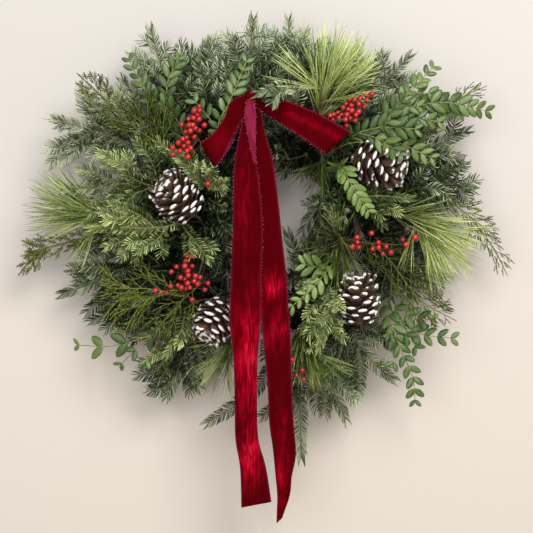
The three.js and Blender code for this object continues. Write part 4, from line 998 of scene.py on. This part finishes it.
# how leaves stand on a twig: spacing in metres, turns and leans in radians, sizes as shares
twoRows = {"Turn start": 1.5708, "Turn step": 3.14159}
goldenTurn = 2.39996
firStrewing = {"Spacing": 0.0012, **twoRows, "Turn spread": 0.80, "Lean start": 1.05, "Lean end": 0.45,
               "Lean spread": 0.07, "Shortest": 0.88, "Longest": 1.05, "Tip taper": 0.08, "Twig sides": 4}
strewing = {
    "fir": firStrewing,
    "firLight": {**firStrewing, "Turn spread": 0.75, "Tip taper": 0.15},
    "cedar": {"Spacing": 0.0016, **twoRows, "Turn spread": 0.30, "Lean start": 0.26, "Lean end": 0.10,
              "Lean spread": 0.08, "Shortest": 0.85, "Longest": 1.15, "Tip taper": 0.2, "Twig sides": 3},
    "boxwood": {"Spacing": 0.0130, "Turn start": 0.0, "Turn step": 0.0, "Turn spread": 0.35, "Lean start": 0.0,
                "Lean end": 0.0, "Lean spread": 0.35, "Shortest": 0.78, "Longest": 1.08, "Tip taper": 0.35,
                "Twig sides": 5},
    "pine": {"Spacing": 0.0027, "Turn start": 0.0, "Turn step": goldenTurn, "Turn spread": 0.5, "Lean start": 0.44,
             "Lean end": 0.12, "Lean spread": 0.16, "Shortest": 0.80, "Longest": 1.08, "Tip taper": 0.12,
             "Twig sides": 5},
}


def growPlant(number, plant):
    kind, name = plant["kind"], plant["name"]
    isFir, isPine = kind.startswith("fir"), kind == "pine"
    values = {**growth[kind], **plant.get("habit", {})}
    thick = values["thick"]
    twigs = Twigs(random.Random(311 + number * 17))
    shade = values.get("shade", twigs.spread(0.2, 0.8))
    bare = ring["radius"] * math.radians(ring["seatArc"]) / 1000 + values["bare"] / 1000
    for turn, deeper, share in values["fans"]:
        path = smoothPath(stemPoints(plant, turn, deeper, share), 0.008)
        bareHere = lengthsAlong(path)[-1] * values.get("bareShare", 0.62) if isPine else bare
        twigs.add(path, thick[0], thick[0] * 0.6, shade, bareHere)
        if not isPine:
            growSprays(twigs, path, values, shade, bare - 0.012)
        if turn == 0:
            stem = path
    for point in [*plant["shoots"], *values.get("more", [])]:
        if isPine:
            growPlume(twigs, stem, place(*point), thick[1], shade)
        else:
            path = shootPath(stem, place(*point))
            twigs.add(path, thick[0] * 0.75, thick[0] * 0.5, shade, values.get("shootBare", 6) / 1000)
            until = values["until"] * 0.8 if isFir else 1
            growSprays(twigs, path, {**values, "until": until}, shade, 0.020 if isFir else 0.010)
    for point in values.get("rosettes", []):
        growRosette(twigs, stem, place(*point), thick[1], shade)
    if isFir:
        growCover(twigs, stem, bare, shade)
    inputs = {"Leaf": shapes[kind], "Seed": number, "Leaf finish": leafFinishes[kind],
              "Twig finish": twigFinishes[kind], **strewing[kind], **values.get("strewing", {})}
    keepPiece(grownPiece(name + "_foliage", twigs.source(name), strewTree, inputs), name)


# where on the bare stem the short shoots stand, their fork in degrees and their length in metres
coverValues = {"shares": (0.30, 0.62, 0.94), "fork": 50, "stray": 0.15, "forward": 0.18, "length": 0.046}


def growCover(twigs, stem, bare, shade):
    # short shoots, darkened as painted shade among the stems, that hide the ring and the bare part of the stem
    values = coverValues
    far = lengthsAlong(stem)
    for share in values["shares"]:
        for sign in (1, -1):
            root, tangent = spotAlong(stem, far, bare * share)
            way = sideWay(twigs, tangent, sign, math.radians(values["fork"]), values["stray"])
            way = (way + front * values["forward"]).normalized()
            twig = bentTwig(root, way, tangent, values["length"] * twigs.spread(0.8, 1.1))
            twigs.add(twig, 0.9, 0.5, shade * 0.35, 0.002)


def growRosette(twigs, stem, tip, thick, shade):
    # a shoot that turns to the front, so that its needles stand round its tip like a star
    root = min(stem[len(stem) // 3 :], key=lambda p: (p - tip).length)
    turn = Vector((tip.x, tip.y + 0.030, tip.z))
    path = smoothPath([root, root.lerp(turn, 0.6), turn, tip], 0.006)
    twigs.add(path, thick, thick * 0.7, min(shade + 0.25, 1), 0.004)


def growPlume(twigs, stem, tip, thick, shade):
    # a short twig with its needles bunched towards a tip that the photo shows
    far = lengthsAlong(stem)
    root, tangent = spotAlong(stem, far, far[-1] * twigs.spread(0.66, 0.97))
    gap = tip - root
    length = max(gap.length - pineValues["length"] / 1000 * 0.80, 0.014)
    end = root + gap.normalized() * length
    middle = root.lerp(end, 0.5) + tangent * length * 0.1
    tuft = 0.030 if tip.y > -0.160 else 0.002  # only a few needles point straight at the viewer
    tint = min(max(shade + twigs.spread(-0.2, 0.2), 0), 1)
    twigs.add(smoothPath([root, middle, end], 0.006), thick, thick * 0.7, tint, max(length - tuft, 0.0))


# berries, each at its place in the photo, across and up, on a stalk from the nearest sprig
berrySpots = {
    "berries_upper_left": [
        (-99, 160), (-106, 153), (-114, 142), (-101, 148), (-99, 141), (-108, 133), (-118, 124), (-111, 125),
        (-104, 128), (-99, 126), (-122, 114), (-115, 109), (-121, 104), (-116, 97), (-115, 89), (-136, 101),
        (-136, 92), (-87, 51), (-107, 143), (-113, 133), (-124, 134), (-92, 133), (-106, 117), (-111, 101),
        (-126, 97), (-128, 108), (-98, 153), (-117, 116),
    ],
    "berries_upper_right": [
        (142, 176), (135, 175), (126, 170), (118, 168), (106, 163), (124, 152), (114, 153), (119, 139), (112, 143),
        (89, 148), (124, 162), (114, 161), (109, 155), (102, 157), (95, 151), (107, 147), (100, 148), (84, 146),
        (88, 141), (107, 133), (132, 160), (120, 147), (112, 169), (135, 168), (105, 140), (96, 143),
    ],
    "berries_left": [
        (-116, -50), (-109, -50), (-118, -57), (-119, -64), (-109, -64), (-115, -71), (-131, -65), (-138, -72),
        (-125, -80), (-114, -77), (-104, -78), (-98, -80), (-119, -82), (-115, -88), (-106, -85), (-101, -89),
        (-129, -91), (-124, -94), (-139, -92), (-118, -95), (-112, -94), (-145, -101), (-153, -101), (-160, -98),
        (-109, -111), (-91, -97), (-87, -88),
    ],
    "berries_right": [
        (122, -24), (122, -31), (115, -37), (124, -38), (142, -18), (152, -31), (143, -40), (152, -38), (158, -47),
        (163, -37), (169, -45), (190, -34), (203, -24), (186, -27),
    ],
    "berries_bottom": [
        (47, -222), (37, -217), (31, -196), (45, -210),
    ],
}


def standPiece(name, twigs, vectors, kind, sides, number):
    source = twigs.source(name)
    for key, values in vectors.items():
        data = source.data.attributes.new(key, "FLOAT_VECTOR", "POINT").data
        data.foreach_set("vector", [n for value in values for n in value])
    inputs = {"Leaf": shapes[kind], "Seed": number, "Leaf finish": leafFinishes[kind],
              "Twig finish": twigFinishes[kind], "Twig sides": sides}
    return grownPiece(name, source, standTree, inputs)


berryValues = {"depth": 98, "nearer": -4, "further": 9, "smallest": 0.86, "largest": 1.12, "stalk": (0.55, 0.45)}


def growBerries(number, plant):
    # a stalk joins each berry to its sprig; the berry stands on the stalk's last point
    twigs = Twigs(random.Random(77 + number))
    stem = smoothPath(stemPoints(plant), 0.008)
    twigs.add(stem, 1.5, 0.7, 0.5)
    stood = {}
    for across, up in berrySpots[plant["name"]]:
        spot = place(across, up, berryValues["depth"] + twigs.spread(berryValues["nearer"], berryValues["further"]))
        root = min(stem[len(stem) // 2 :], key=lambda p: (p - spot).length)
        way = (spot - root).normalized()
        stray = Vector((twigs.spread(-1, 1), 0, twigs.spread(-1, 1)))
        aim = (front * 0.8 + stray * 0.55 + way * 0.3).normalized()
        twigs.add(smoothPath([root, root.lerp(spot, 0.5) - front * 0.002, spot], 0.01), *berryValues["stalk"], 0.5)
        stood[len(twigs.points) - 1] = (aim, twigs.spread(berryValues["smallest"], berryValues["largest"]))
    count = len(twigs.points)
    twigs.numbers["strew"] = [1.0 if i in stood else 0.0 for i in range(count)]
    vectors = {"aim": [(0, 0, 1)] * count, "lift": [(1, 0, 0)] * count, "size": [(1, 1, 1)] * count}
    for i, (aim, size) in stood.items():
        vectors["aim"][i] = tuple(aim)
        vectors["size"][i] = (size,) * 3
    piece = standPiece(plant["name"] + "_sprig", twigs, vectors, "berry", 5, number)
    keepPiece(piece, plant["name"])


# the pine cones, with sizes in millimetres and leans in degrees
coneValues = {"scales": 72, "usualGirth": 28, "scaleWidth": 16.0, "scaleThickness": 9.4,
              "leanBase": 84, "leanApex": 16, "leanSpread": 5, "turnSpread": 0.08, "reach": (0.88, 1.06),
              "widths": (0.84, 1.10), "sunk": 0.18, "core": 0.46}


def coneGirth(share):
    return math.sin(math.pi * (0.13 + 0.83 * share) ** 0.8)


def evenShares(count):
    # places along a cone, closer together where it is wide
    levels = [(i + 0.5) / 400 for i in range(400)]
    total, filled, shares = sum(coneGirth(level) + 0.12 for level in levels), 0.0, []
    for level in levels:
        filled += (coneGirth(level) + 0.12) / total
        while len(shares) < count and filled * count > len(shares) + 0.5:
            shares.append(level)
    return shares


def growCone(number, plant):
    values = coneValues
    base, apex, girth = place(*plant["base"]), place(*plant["apex"]), plant["girth"] / 1000
    axis = (apex - base).normalized()
    side = axis.orthogonal().normalized()
    twigs = Twigs(random.Random(5 + number))
    vectors = {"aim": [], "lift": [], "size": []}
    for i, share in enumerate(evenShares(round(values["scales"] * plant["girth"] / values["usualGirth"]))):
        lean = values["leanBase"] + (values["leanApex"] - values["leanBase"]) * share**0.9
        lean = math.radians(lean + twigs.spread(-values["leanSpread"], values["leanSpread"]))
        turn = i * goldenTurn + twigs.spread(-values["turnSpread"], values["turnSpread"])
        out = Quaternion(axis, turn) @ side
        wide = values["scaleWidth"] / 1000 * (0.55 + 0.5 * coneGirth(share))
        radius = girth * coneGirth(share)
        reach = radius / max(math.sin(lean), 0.55) * twigs.spread(*values["reach"])
        wide = wide * twigs.spread(*values["widths"])
        twigs.points.append(base.lerp(apex, share * 0.84) + out * radius * values["sunk"])
        vectors["aim"].append(tuple((axis * math.cos(lean) + out * math.sin(lean)).normalized()))
        vectors["lift"].append(tuple(axis))
        vectors["size"].append((wide, values["scaleThickness"] / 1000 * 1.2, reach))
    strewn = len(twigs.points)
    stem = smoothPath(stemPoints(plant), 0.008)
    # the core under the scales is a line too, made thick
    levels = (0.02, 0.2, 0.45, 0.7, 0.86)
    core = [base.lerp(apex, share) for share in (0.0, *levels, 0.9)]
    widths = [0.0005, *[girth * values["core"] * coneGirth(share) for share in levels], 0.0005]
    for line in (stem, core):
        start = len(twigs.points)
        twigs.points += line
        twigs.edges += [(start + i, start + i + 1) for i in range(len(line) - 1)]
    extra = len(stem) + len(core)
    twigs.numbers = {"girth": [0.001] * strewn + [0.002] * len(stem) + widths, "shade": [0.5] * (strewn + extra),
                     "strew": [1.0] * strewn + [0.0] * extra}
    for key, blank in {"aim": (0, 0, 1), "lift": (1, 0, 0), "size": (1, 1, 1)}.items():
        vectors[key] += [blank] * extra
    keepPiece(standPiece(plant["name"] + "_scales", twigs, vectors, "cone", 10, number), plant["name"])


growers = {"berry": growBerries, "cone": growCone}
for number, plant in enumerate(plants):
    growers.get(plant["kind"], growPlant)(number, plant)
print("plants grown")


# the velvet ribbon: one strip with two loops, a knot and two tails, in millimetres
ribbonValues = {"across": 12, "step": 5.0, "thickness": 0.9, "rim": 0.45, "wave": 2.2, "crease": 0.9,
                "threadLength": 2.6, "threadWidth": 0.35, "knot": (-26, 172, 112), "knotSize": (9.5, 9, 10)}

# each part as pairs of points on its two edges
ribbonStations = {
    "loop_left": [
        ((-31, 176, 114), (-24, 160, 115)),
        ((-54, 165, 117), (-36, 143, 117)),
        ((-63, 143, 118), (-53, 115, 118)),
        ((-79, 120, 117), (-64, 90, 118)),
        ((-95, 109, 112), (-74, 75, 116)),
        ((-97, 107, 106), (-76, 73, 110)),
        ((-94, 110, 99), (-74, 76, 104)),
        ((-76, 124, 100), (-60, 95, 102)),
        ((-52, 152, 103), (-42, 128, 104)),
        ((-30, 172, 106), (-24, 158, 106)),
    ],
    "loop_right": [
        ((-20, 174, 108), (-20, 160, 109)),
        ((-4, 161, 108), (-6, 148, 108)),
        ((11, 152, 110), (10, 138, 110)),
        ((16, 165, 115), (14, 134, 115)),
        ((55, 153, 118), (34, 121, 119)),
        ((92, 134, 118), (62, 102, 120)),
        ((110, 124, 112), (75, 94, 115)),
        ((112, 122, 105), (77, 92, 108)),
        ((106, 126, 99), (72, 96, 103)),
        ((60, 149, 100), (38, 120, 102)),
        ((16, 160, 101), (14, 136, 102)),
        ((2, 160, 104), (0, 146, 104)),
        ((-20, 173, 105), (-20, 158, 105)),
    ],
    "tail_left": [
        ((-33, 170, 113), (-22, 170, 114)),
        ((-35, 151, 116), (-20, 151, 117)),
        ((-43, 115, 118), (-21, 115, 121)),
        ((-49, 81, 120), (-19, 81, 121)),
        ((-51, 45, 121), (-14, 45, 121)),
        ((-52, -13, 121), (-10, -13, 121)),
        ((-54, -75, 122), (-12, -75, 122)),
        ((-56, -142, 123), (-13, -142, 124)),
        ((-51, -189, 124), (-17, -189, 126)),
        ((-49, -254, 124), (-18, -254, 123)),
        ((-48, -305, 120), (-16, -305, 118)),
        ((-42, -342, 116), (-6, -342, 115)),
        ((-40, -400, 112), (2, -392, 113)),
    ],
    "tail_right": [
        ((-29, 164, 108), (-20, 164, 109)),
        ((-29, 148, 110), (-13, 150, 111)),
        ((-34, 122, 112), (-7, 122, 112)),
        ((-36, 88, 113), (3, 88, 113)),
        ((-30, 40, 115), (10, 40, 115)),
        ((-24, -26, 116), (17, -26, 116)),
        ((-17, -80, 117), (23, -80, 117)),
        ((-13, -128, 118), (26, -128, 118)),
        ((-9, -175, 119), (29, -175, 119)),
        ((-4, -224, 118), (30, -224, 117)),
        ((-1, -284, 115), (33, -284, 114)),
        ((4, -320, 111), (36, -327, 110)),
        ((8, -362, 108), (30, -358, 112)),
        ((10, -385, 106), (28, -380, 110)),
        ((9, -423, 105), (17, -415, 108)),
    ],
    "fold_between": [
        ((-29, 176, 118), (-21, 164, 119)),
        ((-35, 153, 121), (-20, 150, 122)),
        ((-34, 130, 122), (-19, 128, 123)),
        ((-29, 105, 122), (-20, 103, 123)),
        ((-23, 78, 121), (-19, 77, 122)),
    ],
}


def stripGrid(stations, values, noiseSeed):
    # rows of points between the two edges, with shallow waves and finer creases
    edgePaths = [smoothPath([place(*pair[i]) for pair in stations], 0.002) for i in (0, 1)]
    fars = [lengthsAlong(path) for path in edgePaths]
    length = (fars[0][-1] + fars[1][-1]) / 2
    rows = max(3, round(length * 1000 / values["step"]))
    spine = []
    for r in range(rows + 1):
        spine.append([spotAlong(path, far, far[-1] * r / rows)[0] for path, far in zip(edgePaths, fars)])
    grid = []
    for r, (a, b) in enumerate(spine):
        before, after = spine[max(r - 1, 0)], spine[min(r + 1, rows)]
        along = ((after[0] + after[1]) - (before[0] + before[1])).normalized()
        normal = along.cross((b - a).normalized()).normalized()
        calm = min(1, r / 4, (rows - r) / 3)
        row = []
        for u in (c / values["across"] for c in range(values["across"] + 1)):
            wave = noise.noise(Vector((u * 1.3 + noiseSeed, r * values["step"] / 46, noiseSeed))) * values["wave"]
            crease = noise.noise(Vector((u * 4.2, r * values["step"] / 15, noiseSeed + 7))) * values["crease"]
            row.append((a.lerp(b, u) + normal * (wave + crease) * calm / 1000, normal, u))
        grid.append(row)
    return grid, length


def closedStrip(grid, values):
    # the grid's two faces, with the rim and both ends closed
    vertices, faces = [], []
    wide, rows = len(grid[0]), len(grid)
    for side in (0.5, -0.5):
        for row in grid:
            for spot, normal, u in row:
                thin = values["rim"] if u in (0.0, 1.0) else 1.0
                vertices.append(spot + normal * values["thickness"] * side * thin / 1000)

    def at(side, r, c):
        return side * wide * rows + r * wide + c

    for r in range(rows - 1):
        for c in range(wide - 1):
            faces.append((at(0, r, c), at(0, r, c + 1), at(0, r + 1, c + 1), at(0, r + 1, c)))
            faces.append((at(1, r, c), at(1, r + 1, c), at(1, r + 1, c + 1), at(1, r, c + 1)))
        faces.append((at(0, r, 0), at(0, r + 1, 0), at(1, r + 1, 0), at(1, r, 0)))
        faces.append((at(0, r, wide - 1), at(1, r, wide - 1), at(1, r + 1, wide - 1), at(0, r + 1, wide - 1)))
    last = rows - 1
    for c in range(wide - 1):
        faces.append((at(0, 0, c), at(1, 0, c), at(1, 0, c + 1), at(0, 0, c + 1)))
        faces.append((at(0, last, c), at(0, last, c + 1), at(1, last, c + 1), at(1, last, c)))
    return vertices, faces


def knotSurface(values):
    # the pinched band round the middle, with folds running across it
    centre = place(*values["knot"])
    wide, high, deep = (n / 1000 for n in values["knotSize"])
    around, rows = 40, 22
    vertices, faces = [], []
    for i in range(1, rows):
        polar = math.pi * i / rows
        for k in range(around):
            turn = 2 * math.pi * k / around
            x, z, y = math.sin(polar) * math.cos(turn), math.cos(polar), math.sin(polar) * math.sin(turn)
            fold = 1 + 0.09 * math.sin(7 * x + 2.2 * z) + 0.05 * math.sin(13 * x - 3 * z)
            up = math.copysign(abs(z) ** 0.8, z) * high
            vertices.append(centre + Vector((x * wide * (1 - 0.18 * abs(z)), y * deep * fold, up)))
    for i in range(rows - 2):
        for k in range(around):
            j = (k + 1) % around
            faces.append((i * around + k, (i + 1) * around + k, (i + 1) * around + j, i * around + j))
    top, bottom = len(vertices), len(vertices) + 1
    vertices += [centre + Vector((0, 0, high)), centre - Vector((0, 0, high))]
    last = (rows - 2) * around
    for k in range(around):
        j = (k + 1) % around
        faces.append((top, k, j))
        faces.append((bottom, last + j, last + k))
    return vertices, faces


def threadAlong(root, way, width, chance):
    # a single frayed thread, three-sided and pointed
    length, axis = way.length, way.normalized()
    side = axis.orthogonal().normalized()
    other = axis.cross(side)
    bend = side * length * (chance.random() - 0.5) * 0.5 + other * length * (chance.random() - 0.5) * 0.5
    foot = [root + side * math.cos(a) * width / 2 + other * math.sin(a) * width / 2 for a in (0, 2.094, 4.189)]
    middle = root + way * 0.55 + bend * 0.4
    points = [*foot, *[middle + (p - root) * 0.8 for p in foot], root + way + bend]
    faces = [(0, 2, 1), (0, 1, 4, 3), (1, 2, 5, 4), (2, 0, 3, 5), (3, 4, 6), (4, 5, 6), (5, 3, 6)]
    return points, faces


def strokes(tree, scale, stretch):
    # noise drawn out along the hanging ribbon
    values = {"Vector": objectSpot(tree), "Scale": (1, 1, stretch)}
    return noiseAt(tree, addNode(tree, "ShaderNodeMapping", inputs=values), scale, 4, 0.6)


# deep is the velvet in painted shade, crimson its lit colour and sheen its painted highlight
velvetColours = {"deep": (0.058, 0.0001, 0.0014), "crimson": (0.36, 0.0012, 0.013), "sheen": (0.50, 0.014, 0.045),
                 "shadow": (0.03, 0.0002, 0.0015), "backDark": (0.120, 0.005, 0.020),
                 "backLight": (0.235, 0.018, 0.050),
                 "threadDark": (0.62, 0.18, 0.25), "threadLight": (0.86, 0.50, 0.54)}


def velvetPaint(tree):
    nap = readAttribute(tree, "nap")
    under = readAttribute(tree, "under")
    grain = cloud(tree, 700, 3, 0.6)
    pileAndSheenStreaks = strokes(tree, 420, 0.10)
    coarse = strokes(tree, 110, 0.3)
    strand = readAttribute(tree, "strand")
    # painted sheen: patches and streaks where the velvet is painted lighter, up to a painted highlight, and darker
    # elsewhere as painted shade
    paintedSheenStreaks = (pileAndSheenStreaks - 0.5 + (coarse - 0.5) * 0.7) * (0.3 + nap) * strand * 2.2
    lit = (nap * 0.85 + paintedSheenStreaks).within(0.0, 1.3) * 1.3
    colour = blendColours(tree, lit, velvetColours["deep"], velvetColours["crimson"])
    colour = blendColours(tree, lit.within(0.8, 1.3) * 0.55, colour, velvetColours["sheen"])
    colour = blendColours(tree, grain * 0.3, colour, velvetColours["shadow"])
    # the same streaks also pattern the pale reverse of the pile
    pink = blendColours(tree, pileAndSheenStreaks.within(0.3, 0.7), velvetColours["backDark"], velvetColours["backLight"])
    colour = blendColours(tree, under * 0.85, colour, pink)
    return {"Base Color": colour, "Roughness": 0.72 + grain * 0.18, "Sheen Weight": 0.08, "Sheen Roughness": 0.4,
            "Normal": bumped(tree, grain + pileAndSheenStreaks * 0.5, 0.35, 0.0006), "Sheen Tint": (0.9, 0.01, 0.05, 1),
            "Specular IOR Level": 0.01}


def threadPaint(tree):
    grain = cloud(tree, 500, 2)
    colour = blendColours(tree, grain, velvetColours["threadDark"], velvetColours["threadLight"])
    return {"Base Color": colour, "Roughness": 0.7 + grain * 0.1}


# where painted sheen lies on the velvet: across and up of each patch, its half sizes and how strong it is
paintedSheenPatches = [
    ((-30, -190), (20, 75), 0.9), ((-28, -330), (16, 45), 0.95), ((14, -370), (9, 40), 0.5), ((3, -90),
    (14, 18), 0.9), ((12, -150), (16, 26), 0.6), ((-36, 30), (14, 60), 0.35), ((18, -300), (10, 60), 0.35),
    ((28, 147), (11, 6), 0.5), ((45, 139), (11, 6), 0.5), ((62, 131), (11, 6), 0.5), ((79, 123), (11, 6), 0.5),
    ((95, 115), (11, 6), 0.5), ((30, 118), (8, 16), 0.3), ((-70, 110), (16, 22), 0.4), ((-25, 172), (8, 8),
    0.4),
]


# painted sheen at a point of the ribbon, summed from the patches
def paintedSheenAt(spot):
    across, up = spot.x * 1000, spot.z * 1000 - ring["centreUp"]
    total = 0.0
    for (x, z), (wide, high), strong in paintedSheenPatches:
        total += strong * math.exp(-(((across - x) / wide) ** 2) - ((up - z) / high) ** 2)
    return min(total, 1.0)


class Cloth:
    # the ribbon's mesh while it is put together, with what each point and face knows
    def __init__(self):
        self.points, self.faces, self.finishes = [], [], []
        self.numbers = {"under": [], "strand": []}

    def add(self, points, faces, finishNumber, under, strand):
        base = len(self.points)
        self.points += points
        self.faces += [tuple(i + base for i in face) for face in faces]
        self.finishes += [finishNumber] * len(faces)
        self.numbers["under"] += under
        self.numbers["strand"] += [strand] * len(points)


def addThreads(cloth, grid, isTail, chance):
    # frayed threads along both edges, and along the cut end of a tail
    rows = []
    for column, inward in ((0, 1), (-1, -2)):
        rows += [(row[column][0], row[column][0] - row[inward][0], row[column][1]) for row in grid]
    if isTail:
        rows += [(spot[0], spot[0] - back[0], spot[1]) for spot, back in zip(grid[-1], grid[-2])] * 2
    for spot, outward, normal in rows:
        if outward.length < 1e-7:
            continue
        outward = outward.normalized()
        lifted = normal * (chance.random() - 0.5) * 0.9
        stray = Vector((chance.random() - 0.5, 0, chance.random() - 0.5)) * 1.1
        way = (outward + lifted + stray).normalized()
        way *= ribbonValues["threadLength"] / 1000 * (0.35 + chance.random())
        root = spot - outward * 0.0006 + Vector((0, 0, (chance.random() - 0.5) * 0.003))
        points, faces = threadAlong(root, way, ribbonValues["threadWidth"] / 1000, chance)
        cloth.add(points, faces, 1, [0.0] * len(points), 0.0)


def makeRibbon():
    chance = random.Random(9)
    cloth = Cloth()
    total = 0.0
    columns = ribbonValues["across"] + 1
    for number, (name, stations) in enumerate(ribbonStations.items()):
        grid, length = stripGrid(stations, ribbonValues, 3.7 * number)
        total += length
        points, faces = closedStrip(grid, ribbonValues)
        backStart = len(points) // 2
        pinkBack = name in ("tail_left", "tail_right", "loop_left")  # the pale reverse of the velvet is on this side
        unders = []
        for i in range(len(points)):
            onRim = i % columns in (0, columns - 1)
            unders.append(1.0 if (i >= backStart) == pinkBack else 0.55 if onRim else 0.0)
        isTail = name.startswith("tail")
        cloth.add(points, faces, 0, unders, 1.0 if isTail else 0.25)
        addThreads(cloth, grid, isTail, chance)
    points, faces = knotSurface(ribbonValues)
    cloth.add(points, faces, 0, [0.0] * len(points), 0.25)
    # painted sheen for each point of the ribbon
    numbers = {**cloth.numbers, "nap": [paintedSheenAt(spot) for spot in cloth.points]}
    piece = meshObject("velvet_ribbon_cloth", cloth.points, cloth.faces, numbers)
    piece.data.materials.append(finish("crimsonVelvet", velvetPaint))
    piece.data.materials.append(finish("frayedThreads", threadPaint))
    piece.data.polygons.foreach_set("material_index", cloth.finishes)
    piece.data.polygons.foreach_set("use_smooth", [True] * len(piece.data.polygons))
    fixNormals(piece)
    keepPiece(piece, "velvet_ribbon")
    total + 0.05
    print("ribbon", round(total, 3), "m long")


makeRibbon()

greenWire = finish("greenPaintedWire", wirePaint)
for name in ("ring_frame", "binding_wire", "hanging_loop", "bow_wire"):
    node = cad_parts[name]
    node.data.materials.clear()
    node.data.materials.append(greenWire)
print("ribbon and wires finished")

for shape in shapes.values():
    bpy.data.objects.remove(shape)


# a pale backdrop close behind, a pale floor far below, soft light and the camera, in metres
stageValues = {"behind": 0.016, "floor": -0.72, "height": 2.2, "side": 3, "front": -4,
               "top": (0.515, 0.487, 0.455), "bottom": (0.555, 0.508, 0.452)}


def backdropPaint(tree):
    height = addNode(tree, "ShaderNodeSeparateXYZ", inputs={"Vector": objectSpot(tree)}, output="Z")
    grain = cloud(tree, 300, 3)
    # the backdrop is graded from bottom to top as painted light and shade on the wall
    colour = blendColours(tree, height.within(-0.6, 0.2), stageValues["bottom"], stageValues["top"])
    return {"Base Color": colour, "Roughness": 0.9 + grain * 0.05, "Specular IOR Level": 0.1}


def makeStage():
    paint = finish("paleWall", backdropPaint)
    tree = paint.node_tree
    # only its front shows, so that the wreath's back can be looked at
    lit = Wire(tree, tree.nodes["Principled BSDF"].outputs[0])
    clear = addNode(tree, "ShaderNodeBsdfTransparent")
    facing = addNode(tree, "ShaderNodeNewGeometry", output="Backfacing")
    mixed = addNode(tree, "ShaderNodeMixShader", inputs={0: facing, 1: lit, 2: clear})
    tree.links.new(mixed.socket, tree.nodes["Material Output"].inputs["Surface"])
    y, low, high, side, near = (stageValues[key] for key in ("behind", "floor", "height", "side", "front"))
    corners = {
        "pale_wall": [(-side, y, low), (side, y, low), (side, y, high), (-side, y, high)],
        "pale_floor": [(-side, near, low), (side, near, low), (side, y, low), (-side, y, low)],
    }
    planes = [meshObject(name, spots, [(0, 1, 2, 3)]) for name, spots in corners.items()]
    for plane in planes:
        plane.data.materials.append(paint)
    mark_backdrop(*planes)


makeStage()

# place, size in metres, power in watts and colour of each soft light; all look at the same spot
lights = {
    "window_light": ((0.8, -2.1, 1.15), 1.4, 65, (1.0, 0.98, 0.95)),
    "fill_light": ((-0.7, -2.5, 0.0), 1.8, 38, (0.97, 0.98, 1.0)),
}
lightAim = Vector((0, 0, -0.25))
for name, (spot, size, power, colour) in lights.items():
    data = bpy.data.lights.new(name, "AREA")
    data.shape, data.size, data.energy, data.color = "SQUARE", size, power, colour
    lamp = bpy.data.objects.new(name, data)
    lamp.location = spot
    lamp.rotation_euler = (lightAim - Vector(spot)).to_track_quat("-Z", "Y").to_euler()
    scene.collection.objects.link(lamp)

world = bpy.data.worlds.new("paleRoom")
world.use_nodes = True
world.node_tree.nodes["Background"].inputs["Color"].default_value = (0.95, 0.97, 1.0, 1)
world.node_tree.nodes["Background"].inputs["Strength"].default_value = 0.49
scene.world = world
scene.view_settings.view_transform = "Standard"

camera = bpy.data.objects.new("camera", bpy.data.cameras.new("camera"))
camera.location = (-0.005, -2.08, -0.2168)
camera.rotation_euler = (math.radians(90), 0, 0)
camera.data.sensor_width = 36
camera.data.lens = 95.1
scene.collection.objects.link(camera)
scene.camera = camera
print("stage, lights and camera set")

faceCount = sum(len(face.vertices) - 2 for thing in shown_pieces() for face in thing.data.polygons)
print("triangles", faceCount)
